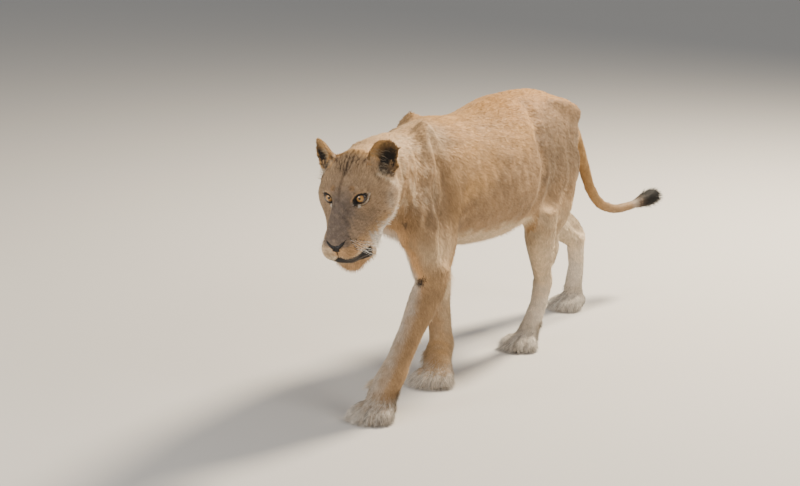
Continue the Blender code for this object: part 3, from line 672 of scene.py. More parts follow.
cheekSpots = tuple(("dark", 2.2, 0.65, place, 0.0050) for place in (
    (0.1016, 0.0253, -0.035), (0.1116, 0.0502, -0.0262), (0.0955, 0.015, -0.0572), (0.088, 0.004, -0.045)))
paleLines = (((0.084, 0.066, 0.034), (0.111, 0.083, -0.012)), ((0.111, 0.083, -0.012), (0.117, 0.091, -0.032)))
coolFace = (0.98, 1.05, 1.22)


def headColour(spot, base):
    x, y, z = spot.T
    wide = np.abs(x)
    rough, fine = waves(spot, 0.014, 11), waves(spot, 0.006, 12)
    crease = lineGap(np.stack([wide, y], 1), ((0.044, 0.092), (0.090, 0.056)))
    lean = -0.0075 * bell(y - 0.005, 0.045)  # the middle stripe runs a little to one side
    axes = {
        "x": x, "y": y, "z": z, "wide": wide, "rough": rough, "wideRough": wide + 0.004 * rough, "top": z > 0.0,
        "jaw": z + 0.010 * rough - 0.06 * np.maximum(y - 0.02, 0), "folds": foldMarks(spot)[1],
        "padTop": z + 0.20 * np.maximum(wide - 0.035, 0) + 0.002 * rough,
        # paler low on the pad, and paler on her right side as painted light
        "padPale": 0.55 * step(-0.078, -0.088, z) + 0.60 * step(0.0, -0.02, x),
        "stripe": bell(x - lean, 0.0045 + 0.0012 * rough), "earCrease": bell(crease + 0.001 * fine, 0.0034),
    }
    colour = paintMarks(blendTo(base, paint["sand"], np.full(len(x), 0.85)), axes, faceMarks)
    cooler = shareOf(axes, {"z": (-0.075, -0.050), "y": (0.125, 0.105)})
    colour = colour * blendTo(np.ones((1, 3)), np.array(coolFace), cooler)
    colour = paintMarks(colour, axes, muzzleMarks)
    for tone, tint, strength, place, size in browSpots:
        colour = blendTo(colour, paint[tone] * tint, strength * nearSpot(spot, place, size))
    colour = colour * (1 + 0.12 * rough + 0.13 * fine + 0.13 * waves(spot, 0.0032, 13))[:, None]
    for tone, tint, strength, place, size in cheekSpots:
        colour = blendTo(colour, paint[tone] * tint, strength * nearSpot(spot, place, size))
    for side in (1, -1):
        ring, across, high, reach, _ = lidSpot(spot, side)
        colour = paintMarks(colour, {
            "ring": ring, "across": across, "high": high, "near": step(0.046, 0.036, reach) * (ring < 8),
            "low": step(0.35, -0.35, high - 0.2 * across), "rim": ring + 0.03 * fine - 0.20 * step(0.0, 0.8, high),
        }, lidMarks)
    colour = blendTo(colour, paint["black"], 0.96 * nearSpot(spot, (0.0345, -0.0175, 0.0020), 0.0105, 0.65))
    colour = blendTo(colour, paint["white"], 0.80 * nearSpot(spot, (0.0430, -0.0170, -0.0110), 0.0050))
    jitter = np.random.default_rng(77)
    for back, rise in whiskerPlaces():
        dot = np.hypot(y - back - jitter.normal() * 0.0008, z - rise - jitter.normal() * 0.0008)
        colour = blendTo(colour, paint["dark"], 0.90 * step(0.0036, 0.0020, dot) * (wide > 0.030) * (y < -0.04))
    drop, along, half = mouthSpot(spot)
    lips = step(half + 0.0030, half + 0.0008, np.abs(drop)) * step(1.14, 1.0, along) * step(-0.045, -0.055, y)
    colour = blendTo(colour, paint["lip"], lips)
    groove = np.exp(-(x / 0.0023) ** 4) * step(-0.100, -0.088, z) * step(-0.058, -0.064, z) * (y < -0.10)
    colour = blendTo(colour, paint["lip"], 0.9 * groove)
    earRise, earWide, _ = earSpot(spot).T
    bowl = np.hypot((earWide - 0.014) / 0.028, (earRise - 0.006) / 0.022)
    # painted shade in the hollow of the ear
    colour = blendTo(colour, paint["black"], 0.93 * step(1.1, 0.75, bowl + 0.08 * fine) * (y > 0.07))
    colour = blendTo(colour, paint["dark"], 0.85 * nearSpot(spot, (0.106, 0.114, 0.004), 0.024) * (y > 0.088))
    for run in paleLines:
        colour = blendTo(colour, paint["cream"] * 1.15, 0.85 * step(0.0062, 0.0025, lineGap(mirrored(spot), run)))
    return colour


earMarks = (
    ("umber", 1, 0.35, {"back": ()}),
    ("dark", 1, 0.75, {"back": (), "bar": (0.055, 0.02), "span": (0.04, 0.015)}),
    ("inner", 0.55, 0.88, {"cup": (), "ring": ()}),
    ("gold", 0.8, 0.40, {"cup": (), "streak": (0.2, 0.9), "reach": (0.4, 0.8)}),
    ("gold", 1, 0.80, {"cup": (), "wide": (-0.012, -0.030)}),
    # painted shade deep in the ear's cup
    ("black", 1, 0.98, {"cup": (), "deep": (1.15, 0.75)}),
)


def earColour(spot, normal):
    rise, wide, _ = earSpot(spot).T
    facing = (normal * np.where(spot[:, :1] < 0, (-1, 1, 1), (1, 1, 1))) @ earFrame()[2]
    rough = waves(spot, 0.007, 21)
    reach = np.hypot((wide - 0.006) / 0.044, (rise - 0.042) / 0.046)
    left = spot[:, 0] > 0
    deep = np.hypot((wide - np.where(left, 0.017, 0.034)) / np.where(left, 0.025, 0.015), (rise - 0.026) / 0.042)
    return paintMarks(np.tile(paint["gold"], (len(rise), 1)), {
        "back": step(0.0, -0.4, facing), "cup": step(0.0, 0.35, facing),
        "bar": np.abs(rise - 0.045), "span": np.abs(wide),
        "ring": step(1.05, 0.80, reach + 0.05 * rough) * np.where(left, 1.0, step(0.0, 0.02, wide)),
        "streak": np.sin(np.arctan2(rise - 0.03, wide - 0.018) * 26 + rough), "reach": reach, "wide": wide,
        "deep": deep + 0.16 * rough,
    }, earMarks)


tailMarks = (
    ("sand", 0.85, 1, {"end": (0.55, 0.30)}), ("smoke", 1, 0.8, {"end": (0.24, 0.17)}),
)
tuftMarks = (("dark", 1.6, 1, {"softEnd": (0.185, 0.145)}), ("black", 0.7, 1, {"rawEnd": (0.155, 0.105)}))


def tailColour(points, small):
    end = tailBack[-1] - points[:, 1]
    axes = {"end": end, "softEnd": end + 0.010 * small, "rawEnd": end + 0.012 * small}
    shade = paintMarks(np.tile(paint["gold"] * 0.82, (len(points), 1)), axes, tailMarks)
    return paintMarks(shade * 0.80, axes, tuftMarks)


bodyMarks = (
    # gold on upward-facing coat: the back's own golden tone and painted sunlight
    ("gold", 1, 0.90, {"upBroad": (0.25, 0.85)}),
    ("umber", 1, 0.22, {"middle": (-0.2, 1.0), "up": (-0.75, -0.2)}),
    # painted shade on the shoulder, weaker on her right side
    ("umber", 0.75, 1, {
        "leftIf": (0.95, 0.30), "shoulderAt": (-0.60, 0.11), "zAt": (0.645, 0.115), "face": (0.1, 0.5),
        "z": (0.84, 0.72)}),
    ("cream", 1, 0.40, {"fore": (), "zAt": (0.50, 0.05), "face": (0.2, 0.7)}),
    # painted sunlight on the left flank just behind the shoulder
    ("gold", 1, 0.25, {"yAt": (-0.46, 0.06), "zAt": (0.60, 0.22), "aside": (0.1, 0.5)}),
    # painted shade on the haunch, weaker on her right side
    ("umber", 0.68, 1, {"leftIf": (0.92, 0.45), "haunch": (), "zSoft": (0.50, 0.64), "z": (0.86, 0.76)}),
    ("umber", 1, 1, {"leftIf": (0.68, 0.25), "haunch": (), "z": (0.70, 0.76), "up": (0.98, 0.5)}),
    ("cream", 1, 0.22, {"hind": (), "zAt": (0.50, 0.045), "stifleAt": (0, 0.08)}),
    # painted shade on the lower flank
    ("umber", 1, 0.45, {
        "trunk": (), "zSoft": (0.66, 0.52), "y": (-0.52, -0.46), "face": (0.0, 0.3), "z": (0.46, 0.54)}),
    ("umber", 1.1, 0.52, {"flank": (), "sunny": (0.05, -0.04)}),
    ("gold", 1, 0.55, {"flank": (), "sunnyAt": (0.05, 0.06)}),
    ("cream", 1, 0.80, {"belly": (0.50, 0.43), "trunk": (), "y": (-0.62, -0.5), "up": (-0.05, -0.6)}),
    ("gold", 1, 0.45, {"belly": (0.50, 0.43), "trunk": (), "y": (-0.62, -0.5), "up": (-0.7, -0.2)}),
    ("cream", 1, 0.28, {"trunk": (), "y": (-0.62, -0.70), "up": (0.35, -0.1)}),  # throat
    ("tan", 1.35, 0.85, {"front": ()}),
    ("white", 1, 0.75, {"front": (), "breast": (0.075, 0.045)}),
    ("sand", 0.72, 0.70, {"fore": (), "zSoft": (0.46, 0.34), "outward": (-0.9, 0.4)}),
    ("cream", 1, 1, {"hindIf": (0.75, 0.40), "inward": (0.1, 1.0), "leg": (), "z": (0.66, 0.46)}),
    ("cream", 1, 0.85, {"hind": (), "zRough": (0.60, 0.32)}),
    ("white", 1, 0.60, {"hind": (), "zSoft": (0.30, 0.14)}),
    ("white", 1, 1, {"hindIf": (0.95, 0.42), "paw": ()}),
    ("smoke", 1, 1, {"hindIf": (0.12, 0.30), "paw": (), "small": (0.1, 0.8)}),
)
speckMarks = (("dark", 3, 0.40, {
    "speck": (1.62, 1.80), "flesh": (), "y": (-0.82, -0.72, 0.15, 0.0, -0.10, -0.45), "z": (0.45, 0.52)}),)
scabs = (((0.106, -0.655, 0.419), 0.030, "black"), ((0.103, -0.728, 0.609), 0.015, "umber"))
maneMarks = (
    ("cream", 1, 0.42, {"mane": (), "lock": (0.0, 0.9)}), ("umber", 1, 0.42, {"mane": (), "lock": (-0.2, -1.0)}),
)
sunlitTint = {"front": (0.99, 0.92, 0.80), "back": (0.93, 0.81, 0.62)}


def bodyAxes(points, normals, owner, broad, middle, small):
    x, y, z = points.T
    axes = {name: isIn(owner, name) for name in ("fore", "hind")}
    trunk, leg, left = isIn(owner, "trunk", "neck"), axes["fore"] | axes["hind"], x > -0.02
    side = np.where(isIn(owner, "foreleg_left", "hindleg_left"), 1, -1)
    run = np.array(bodyFolds[0][0])[::-1, ::-1].T  # the groove ahead of the haunch
    haunch = np.where(left, y - np.interp(z, *run), y - 0.16 - 0.5 * (0.8 - z))
    up, face = normals[:, 2], np.abs(normals[:, 0])
    axes.update({
        "x": x, "y": y, "z": z, "up": up, "face": face, "aside": normals[:, 0],
        "left": left, "trunk": trunk, "leg": leg, "flesh": trunk | leg,
        "middle": middle, "small": small, "upBroad": up + 0.15 * broad,
        "zSoft": z + 0.02 * middle, "zRough": z + 0.03 * middle,
        "shoulder": y - np.where(left, 0.0, 0.30),  # the right leg stands further back
        "haunch": step(-0.030, 0.035, haunch + 0.012 * middle) * (trunk | axes["hind"]) * step(0.95, 0.6, up),
        "stifle": y - np.where(left, 0.0, 0.28),
        "sunny": z - 0.60 - 0.52 * (y + 0.45) + 0.03 * broad + 0.012 * middle,
        "flank": trunk * step(-0.56, -0.49, y) * step(0.02, -0.04, haunch) * step(0.1, 0.5, face),
        "belly": z + 0.02 * middle + 0.08 * up, "breast": x + 0.3 * (z - 0.55),
        "front": (trunk | axes["fore"]) * shareOf({"y": y, "z": z, "aside": normals[:, 0]}, {
            "y": (-0.60, -0.66), "z": (0.68, 0.52), "aside": (0.75, 0.2)}),
        "outward": normals[:, 0] * side + 0.3 * middle, "inward": -normals[:, 0] * side + 0.2 * middle,
        "paw": leg * step(0.075, 0.025, z + 0.01 * middle), "speck": waves(points, 0.011, 61),
        "mane": (trunk | axes["fore"]) * shareOf({"y": y, "z": z, "face": face}, {
            "yAt": (-0.72, 0.13), "z": (0.60, 0.68), "face": (0.1, 0.6)}),
        "lock": waves(points * (1.0, 0.9, 0.30), 0.020, 72),
    })
    return axes


def coatColour(points, normals, owner):
    broad, middle, small = waves(points, 0.16, 1), waves(points, 0.045, 2), waves(points, 0.013, 3)
    axes = bodyAxes(points, normals, owner, broad, middle, small)
    colour = paintMarks(np.tile(paint["sand"], (len(points), 1)), axes, bodyMarks)
    # painted shade in the gaps between the toes
    for chosen, groove in toeGrooves(points, owner, 0.0036, -0.080):
        colour[chosen] = blendTo(colour[chosen], paint["dark"] * 4, 0.45 * groove)
    colour = paintMarks(colour, axes, (("dark", 1, 0.9, {"leg": (), "z": (0.008, 0.003), "up": (-0.4, -0.8)}),))
    tail = isIn(owner, "tail")
    colour[tail] = tailColour(points[tail], small[tail])
    colour = paintMarks(colour, axes, speckMarks)
    for place, size, tone in scabs:
        ray = points - np.array(place)
        star = size * (0.7 + 0.3 * np.cos(5 * np.arctan2(ray[:, 2], ray[:, 1]) + 0.6))
        colour = blendTo(colour, paint[tone], 0.95 * step(star, 0.6 * star, np.linalg.norm(ray, axis=1)))
    head, ear = isIn(owner, "head"), isIn(owner, "ears")
    spot, turned = toHead(points), normals @ headAxes.T
    face = headColour(spot[head], colour[head])
    colour[head] = blendTo(colour[head], face, step(0.16, 0.09, spot[head, 1]))
    colour[ear] = earColour(spot[ear], turned[ear])
    sunlit = shareOf(axes, {"up": (0.30, 0.85), "flesh": (), "z": (0.5, 0.6)})
    warm = blendTo(np.array(sunlitTint["front"]), sunlitTint["back"], step(-0.28, -0.05, points[:, 1]))
    colour = colour * blendTo(np.ones((1, 3)), warm, sunlit)
    # the withers painted paler: painted sunlight on the shoulder blades
    paintedWithersLight = (axes["trunk"] | axes["fore"]) * shareOf(axes, {"z": (0.76, 0.85), "y": (-0.40, -0.50)})
    colour = paintMarks(blendTo(colour, paint["cream"], 0.34 * paintedWithersLight), axes, maneMarks)
    streak = waves(points * (1.0, 0.30, 1.0), 0.009, 71) * axes["trunk"]
    shade = 1 + 0.06 * broad + 0.07 * middle + 0.07 * small + 0.06 * streak
    return np.clip(colour * np.clip(shade, 0.6, 1.4)[:, None], 0.002, 0.9)


skinMesh = joinedFlesh()
print("flesh joined:", len(skinMesh.vertices), "points")
findNode = nodeFinder()


def shapeSkin(mesh):
    points = readVectors(mesh)
    table, degree = neighbourTable(mesh)
    gentle = step(0.16, 0.22, gapTo(toHead(points), (0, 0.01, -0.03))) * step(0.10, 0.18, points[:, 2])
    points = relax(points, table, degree, skinPlan["headRounds"])
    points = relax(points, table, degree, skinPlan["bodyRounds"], gentle[:, None])
    writePoints(mesh, points)
    splitNear(mesh, nearHeadOrPaw)
    splitNear(mesh, nearFace)
    points = readVectors(mesh)
    table, degree = neighbourTable(mesh)
    points = relax(points, table, degree, skinPlan["fineRounds"], nearHeadOrPaw(points)[:, None] * 1.0)
    writePoints(mesh, points)
    owner = findNode(points)
    length = hairLength(points, owner)[:, None]
    for _ in range(skinPlan["lengthRounds"]):
        length = spread(length, table, degree)
    length = length[:, 0]
    points = points - readVectors(mesh, "normal") * (skinPlan["swell"] + coatPlan["depth"] * length)[:, None]
    points[:, 2] = np.where(points[:, 2] < 0.005, np.maximum(points[:, 2] - 0.004, 0.0), points[:, 2])
    writePoints(mesh, points)
    head = nearHead(points)
    points[head] = fromHead(sculptHead(toHead(points[head]), readVectors(mesh, "normal")[head] @ headAxes.T))
    writePoints(mesh, points)
    normals = readVectors(mesh, "normal")
    push = (sculptBody(points, normals, owner) * ~head)[:, None]
    for _ in range(2):
        push = spread(push, table, degree)
    points = points + normals * push
    points[:, 2] = np.maximum(points[:, 2], 0.0)
    writePoints(mesh, points)
    return owner, length, table, degree


owner, length, table, degree = shapeSkin(skinMesh)
print("skin shaped:", len(skinMesh.vertices), "points", len(skinMesh.polygons), "faces")


# materials: one grain for skin, coat, eyes and nose, then each finish

grainPlan = {"Fine": 420.0, "Coarse": 60.0, "Contrast": 0.3}
finishPlans = {  # attribute with the colours, sizes and strength of the grain, bump and its depth, and the shader
    "shortHide": ("coatTone", (520.0, 45.0, 0.45), (0.55, 0.0015), {"Roughness": 0.72, "Sheen Weight": 0.12}),
    "coatHair": ("coatTone", (380.0, 55.0, 0.40), None, {"Roughness": 0.62, "Sheen Weight": 0.18}),
    "darkHair": ("coatTone", (380.0, 55.0, 0.40), None, {"Roughness": 0.70, "Sheen Weight": 0.0}),
    "eyeAmber": ("eyeTone", (900.0, 270.0, 0.25), None, {"Roughness": 0.35, "Coat Weight": 0.6}),
    "noseLeather": ("noseTone", (1300.0, 390.0, 0.5), (0.5, 0.0006), {"Roughness": 0.55, "Coat Weight": 0.08}),
}
hairShader = {"Specular IOR Level": 0.25, "Sheen Roughness": 0.45, "Sheen Tint": (1.0, 0.86, 0.66, 1)}
wetShader = {"Specular IOR Level": 0.3, "Coat Roughness": 0.04}


def addNode(tree, kind, inputs, **settings):
    node = tree.nodes.new(kind)
    for name, value in settings.items():
        setattr(node, name, value)
    for name, value in inputs.items():
        if isinstance(value, bpy.types.NodeSocket):
            tree.links.new(value, node.inputs[name])
        else:
            node.inputs[name].default_value = value
    return node


def buildHairGrain():  # fine streaks and soft mottling of short hair
    group = bpy.data.node_groups.new("hairGrain", "ShaderNodeTree")
    for label, value in grainPlan.items():
        group.interface.new_socket(label, in_out="INPUT", socket_type="NodeSocketFloat").default_value = value
    for label in ("Shade", "Height"):
        group.interface.new_socket(label, in_out="OUTPUT", socket_type="NodeSocketFloat")
    given, result = group.nodes.new("NodeGroupInput"), group.nodes.new("NodeGroupOutput")
    place = addNode(group, "ShaderNodeTexCoord", {}).outputs["Object"]
    fine, coarse = (
        addNode(group, "ShaderNodeTexNoise", {"Vector": place, "Scale": given.outputs[label], "Detail": detail})
        for label, detail in (("Fine", 2.0), ("Coarse", 3.0)))
    value = fine.outputs["Fac"]
    for other, operation in (
            (coarse.outputs["Fac"], "ADD"), (1.0, "SUBTRACT"), (given.outputs["Contrast"], "MULTIPLY"), (1.0, "ADD")):
        value = addNode(group, "ShaderNodeMath", {0: value, 1: other}, operation=operation).outputs[0]
    group.links.new(value, result.inputs["Shade"])
    group.links.new(fine.outputs["Fac"], result.inputs["Height"])
    return group


hairGrain = buildHairGrain()


def makeMaterial(name):
    layer, sizes, bump, settings = finishPlans[name]
    material = bpy.data.materials.new(name)
    material.use_nodes = True
    tree = material.node_tree
    shader = tree.nodes["Principled BSDF"]
    tone = addNode(tree, "ShaderNodeAttribute", {}, attribute_name=layer)
    grain = addNode(tree, "ShaderNodeGroup", {}, node_tree=hairGrain)
    for label, value in zip(grainPlan, sizes):
        grain.inputs[label].default_value = value
    mixed = addNode(tree, "ShaderNodeVectorMath", {0: tone.outputs["Color"]}, operation="SCALE")
    tree.links.new(grain.outputs["Shade"], mixed.inputs["Scale"])
    tree.links.new(mixed.outputs[0], shader.inputs["Base Color"])
    if bump:
        heights = {"Height": grain.outputs["Height"], "Strength": bump[0], "Distance": bump[1]}
        tree.links.new(addNode(tree, "ShaderNodeBump", heights).outputs["Normal"], shader.inputs["Normal"])
    for label, value in {**(hairShader if "Sheen Weight" in settings else wetShader), **settings}.items():
        shader.inputs[label].default_value = value
    return material


finishes = {name: makeMaterial(name) for name in finishPlans}


def paintPoints(mesh, name, colours):
    full = np.ones((len(colours), 4), np.float32)
    full[:, :3] = colours
    mesh.color_attributes.new(name, "FLOAT_COLOR", "POINT").data.foreach_set("color", full.ravel())


def unwrapSkin(piece):
    bpy.context.view_layer.objects.active = piece
    piece.select_set(True)
    bpy.ops.object.mode_set(mode="EDIT")
    bpy.ops.mesh.select_all(action="SELECT")
    bpy.ops.uv.smart_project(angle_limit=math.radians(72), island_margin=0.001, scale_to_bounds=False)
    bpy.ops.object.mode_set(mode="OBJECT")
    piece.select_set(False)
    piece.data.uv_layers[0].name = "OFBake"


skin = newObject("skin", skinMesh)
unwrapSkin(skin)
skinPoints, skinNormals = readVectors(skinMesh), readVectors(skinMesh, "normal")
# the skin is painted darker than the coat above it: painted shade under the tufts
paintPoints(skinMesh, "coatTone", coatColour(skinPoints, skinNormals, owner) * 0.86)  # darker under the tufts
skinMesh.materials.append(finishes["shortHide"])
shadeSmooth(skinMesh)
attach(skin, "root")
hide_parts(*fleshNodes)
print("skin painted")


# roots for the coat, spread over the skin

flow = coatFlow(skinPoints, skinNormals, owner)
for _ in range(12):
    flow = unit(flow * 0.4 + spread(flow, table, degree) * 0.6)


def skinTriangles(mesh):
    mesh.calc_loop_triangles()
    corners = np.empty(len(mesh.loop_triangles) * 3, np.int32)
    loops = np.empty(len(mesh.loop_triangles) * 3, np.int32)
    mesh.loop_triangles.foreach_get("vertices", corners)
    mesh.loop_triangles.foreach_get("loops", loops)
    flat = np.empty(len(mesh.loops) * 2, np.float32)
    mesh.uv_layers["OFBake"].data.foreach_get("uv", flat)
    return corners.reshape(-1, 3), flat.reshape(-1, 2)[loops.reshape(-1, 3)]


corners, cornerUv = skinTriangles(skinMesh)
cornerA, cornerB, cornerC = (skinPoints[corners[:, index]] for index in range(3))
faceCross = np.cross(cornerB - cornerA, cornerC - cornerA)
area = np.linalg.norm(faceCross, axis=1) / 2
faceOwner = owner[corners[:, 0]]


def sowRoots(perSquare, seed):  # perSquare is the wanted number of roots per square metre at each triangle
    dice = np.random.default_rng(seed)
    sums = np.cumsum(area * perSquare)
    count = int(sums[-1])
    marks = (np.arange(count) + dice.random(count)) * sums[-1] / count
    face = np.minimum(np.searchsorted(sums, marks), len(sums) - 1)
    a, b = dice.random(count), dice.random(count)
    flip = a + b > 1
    a[flip], b[flip] = 1 - a[flip], 1 - b[flip]
    share = np.stack([1 - a - b, a, b], 1)[:, :, None]
    mix = lambda values: (values[corners[face]] * share).sum(1)
    return {
        "point": mix(skinPoints), "normal": unit(mix(skinNormals)), "flow": unit(mix(flow)),
        "length": mix(length[:, None])[:, 0], "owner": faceOwner[face], "uv": (cornerUv[face] * share).sum(1),
        "dice": dice,
    }


def among(roots, kept):
    return {name: value[kept] if name != "dice" else value for name, value in roots.items()}


def ownColour(roots):
    return coatColour(roots["point"], roots["normal"], roots["owner"])


tuftPlan = {
    "sway": 0.22, "curl": 0.12, "tones": (0.82, 1.13), "clear": 0.0004, "middle": 0.42, "roll": 0.16, "tipDrop": 0.82,
    "faces": ((0, 1, 2), (1, 3, 2), (0, 3, 1), (0, 2, 3)),
    "patch": ((0, -0.0015), (-0.0012, 0), (0.0012, 0), (0, 0.0015)),
}


def softDice(dice, limit, *size):
    return np.clip(dice.normal(size=size), -limit, limit)


def growTufts(name, roots, size, rise):  # each tuft is one thin closed leaf: root, two shoulders, tip
    point, normal, dice = roots["point"], roots["normal"], roots["dice"]
    count = len(point)
    along = roots["flow"] - normal * (roots["flow"] * normal).sum(1, keepdims=True)
    turn = softDice(dice, 2, count) * tuftPlan["sway"]
    along = unit(along + unit(np.cross(normal, along)) * turn[:, None])
    across = np.cross(normal, along)
    long = roots["length"] * dice.uniform(0.75, 1.25, count)
    wide = size * dice.uniform(0.75, 1.25, count)
    lift = rise * dice.uniform(0.6, 1.4, count)
    bend = softDice(dice, 2, count) * tuftPlan["curl"] * long
    root = point - normal * (tuftPlan["clear"] + 0.05 * long)[:, None]
    half = tuftPlan["middle"] * long
    middle = point + along * half[:, None] + normal * (half * lift + 0.0002)[:, None]
    roll = across * (wide / 2)[:, None] + normal * (wide * tuftPlan["roll"] * softDice(dice, 1, count))[:, None]
    tip = point + along * long[:, None] + across * bend[:, None]
    tip = tip + normal * (long * lift * tuftPlan["tipDrop"])[:, None]
    colour = ownColour(roots)
    shade = dice.uniform(*tuftPlan["tones"], count)[:, None]
    # each tuft darker at its root and lighter at its tip: painted shade deep in the coat, painted light on the tips
    tones = np.stack([colour * 0.80, *[colour * 0.97 * shade] * 2, np.minimum(colour * 1.10 * shade, 0.85)], 1)
    soft = unit(normal + 0.11 * softDice(dice, 2, count, 3) - 0.14 * along)
    spots = np.stack([root, middle - roll, middle + roll, tip], 1)
    return finishCoat(name, spots, tuftPlan["faces"], tones, np.repeat(soft, 4, 0), roots, tuftPlan["patch"])


def finishCoat(name, spots, faces, tones, normals, roots, patch):  # spots, faces and patch are of one tuft each
    count, each = spots.shape[:2]
    spots = spots.reshape(-1, 3)
    spots[:, 2] = np.maximum(spots[:, 2], tuftPlan["clear"])
    faces = (np.arange(count)[:, None, None] * each + np.array(faces)).reshape(-1, 3)
    mesh = bpy.data.meshes.new(name)
    mesh.vertices.add(len(spots))
    mesh.vertices.foreach_set("co", spots.astype(np.float32).ravel())
    mesh.loops.add(len(faces) * 3)
    mesh.loops.foreach_set("vertex_index", faces.astype(np.int32).ravel())
    mesh.polygons.add(len(faces))
    mesh.polygons.foreach_set("loop_start", np.arange(0, len(faces) * 3, 3, dtype=np.int32))
    shadeSmooth(mesh)
    mesh.update(calc_edges=True)
    paintPoints(mesh, "coatTone", tones.reshape(-1, 3))
    places = np.clip(np.repeat(roots["uv"], each, 0) + np.tile(np.array(patch), (count, 1)), 0.0005, 0.9995)
    mesh.uv_layers.new(name="OFBake").data.foreach_set("uv", places[faces.ravel()].astype(np.float32).ravel())
    mesh.normals_split_custom_set_from_vertices(normals.astype(np.float32))
    mesh.materials.append(finishes["coatHair"])
    piece = newObject(name, mesh)
    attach(piece, "root")
    return piece


# the short coat, piece by piece

barePlan = {
    "lid": 1.22, "lidReach": 0.030, "lips": -0.0012, "lipEdge": 0.0015, "front": -0.048,
    "nose": (0.026, 0.020, 0.019),
}
middles = skinPoints[corners].mean(1)
faceSpot, faceNormal = toHead(middles), unit(faceCross)
headRegion, earRegion, trunkRegion = (isIn(faceOwner, name) for name in ("head", "ears", "trunk"))
leftSide = middles[:, 0] > -0.02
thin = 1.0


def isBare(spot):  # lids, lips and the pad of the nose
    drop, _, half = mouthSpot(spot)
    bare = (np.abs(drop - barePlan["lips"]) < half + barePlan["lipEdge"]) & (spot[:, 1] < barePlan["front"])
    for side in (1, -1):
        ring, _, _, reach, _ = lidSpot(spot, side)
        bare |= (reach < barePlan["lidReach"]) & (ring < barePlan["lid"])
    return bare | headRegion & (gapTo(spot / barePlan["nose"], np.array(headPlan["nose"]) / barePlan["nose"]) < 1)


covered = ~isBare(faceSpot) * (1 - step(0.012, 0.004, middles[:, 2]) * (faceNormal[:, 2] < -0.5))  # not the soles
shortCoat = {  # where, roots per square metre, width of a tuft, its rise, and the pieces they are shared between
    "Face": (headRegion & (faceSpot[:, 1] < -0.02), 400000, 0.0012, 0.15, 1),
    "Cheeks": (headRegion & (faceSpot[:, 1] >= -0.02), 200000, 0.0015, 0.18, 1),
    "Ears": (earRegion, 260000, 0.0012, 0.30, 1),
    "FlankLeft": (trunkRegion & leftSide, 125000, 0.0022, 0.13, 2),
    "FlankRight": (trunkRegion & ~leftSide, 84000, 0.0026, 0.13, 1),
    "Neck": (isIn(faceOwner, "neck"), 140000, 0.0018, 0.24, 1),
    "ForelegLeft": (isIn(faceOwner, "foreleg_left"), 120000, 0.0019, 0.14, 1),
    "ForelegRight": (isIn(faceOwner, "foreleg_right"), 90000, 0.0022, 0.14, 1),
    "HindlegLeft": (isIn(faceOwner, "hindleg_left"), 115000, 0.0020, 0.14, 1),
    "HindlegRight": (isIn(faceOwner, "hindleg_right"), 86000, 0.0023, 0.14, 1),
    "Tail": (isIn(faceOwner, "tail"), 140000, 0.0017, 0.22, 1),
}


def shareRoots(roots, parts):  # from the front of the body to the back
    back = roots["point"][:, 1]
    edges = np.quantile(back, np.linspace(0, 1, parts + 1))
    edges[-1] += 1
    for low, high in zip(edges, edges[1:]):
        yield among(roots, (back >= low) & (back < high))


for index, (name, (where, perSquare, wide, rise, parts)) in enumerate(shortCoat.items()):
    roots = sowRoots(where * covered * perSquare * thin, 100 + index)
    for number, chosen in enumerate(shareRoots(roots, parts), 1):
        label = "coat" + name + (str(number) if parts > 1 else "")
        growTufts(label, chosen, wide / thin ** 0.5, rise)
        print(label, len(chosen["point"]), "tufts")
print("short coat grown")


# longer hair: closed tapering locks where the coat breaks the outline

lockPlan = {
    "sides": 3, "rings": 2, "sunk": 0.0008, "taper": 0.65, "flat": 0.6, "lengths": (0.6, 1.25), "tones": (0.82, 1.18),
}


def ringFaces(first, sides, levels):  # rings of points joined into a tube, closed on the point after them
    faces = []
    for start in range(first, first + levels * sides, sides):
        for k in range(sides):
            a, b = start + k, start + (k + 1) % sides
            faces.append((a, b, b + sides, a + sides))
    last, tip = first + (levels - 1) * sides, first + levels * sides
    return faces[:-sides] + [(last + k, last + (k + 1) % sides, tip) for k in range(sides)]


def lockShape(sides, levels):
    faces = [(0, 2, 1)]
    for face in ringFaces(0, sides, levels):
        faces += [face] if len(face) == 3 else [face[:3], (face[0], *face[2:])]
    each = sides * levels + 1
    spread = np.linspace(-1, 1, each)
    return np.array(faces)[:, ::-1], np.stack([0.0012 * spread, 300 * (0.0015 * spread) ** 2], 1)


def growLocks(name, roots, aim, long, wide, droop, colour):
    point, normal, dice = roots["point"], roots["normal"], roots["dice"]
    count, sides, rings = len(point), lockPlan["sides"], lockPlan["rings"]
    aim = unit(aim)
    across = unit(np.cross(aim, normal) + 1e-6)
    other = np.cross(across, aim)
    long = long * dice.uniform(*lockPlan["lengths"], count)[:, None]
    fall = np.array((0, 0, droop)) * long
    spots, soft = [], []
    for place in np.arange(rings) / rings:
        centre = point - normal * lockPlan["sunk"] + aim * long * place + fall * place ** 2
        for turn in np.arange(sides) * 2 * math.pi / sides:
            away = across * math.cos(turn) + other * lockPlan["flat"] * math.sin(turn)
            spots.append(centre + away * wide / 2 * (1 - lockPlan["taper"] * place))
            soft.append(unit(normal * 0.9 + away * 0.5))
    spots.append(point + aim * long + fall)
    soft.append(normal)
    # darker at the base of each lock, lighter at its tip: painted shade deep in the coat, painted light on the tips
    paintedDepthShade = np.append(np.repeat(0.80 + 0.28 * np.arange(rings) / rings, sides), 1.12)
    shade = dice.uniform(*lockPlan["tones"], count)[:, None] * paintedDepthShade
    tones = np.clip(colour[:, None] * shade[..., None], 0.002, 0.9)
    faces, patch = lockShape(sides, rings)
    piece = finishCoat(name, np.stack(spots, 1), faces, tones, np.stack(soft, 1).reshape(-1, 3), roots, patch)
    print(name, count, "locks")
    return piece


def scatter(roots, size):  # draws three numbers for each root
    return size * roots["dice"].normal(size=roots["point"].shape)


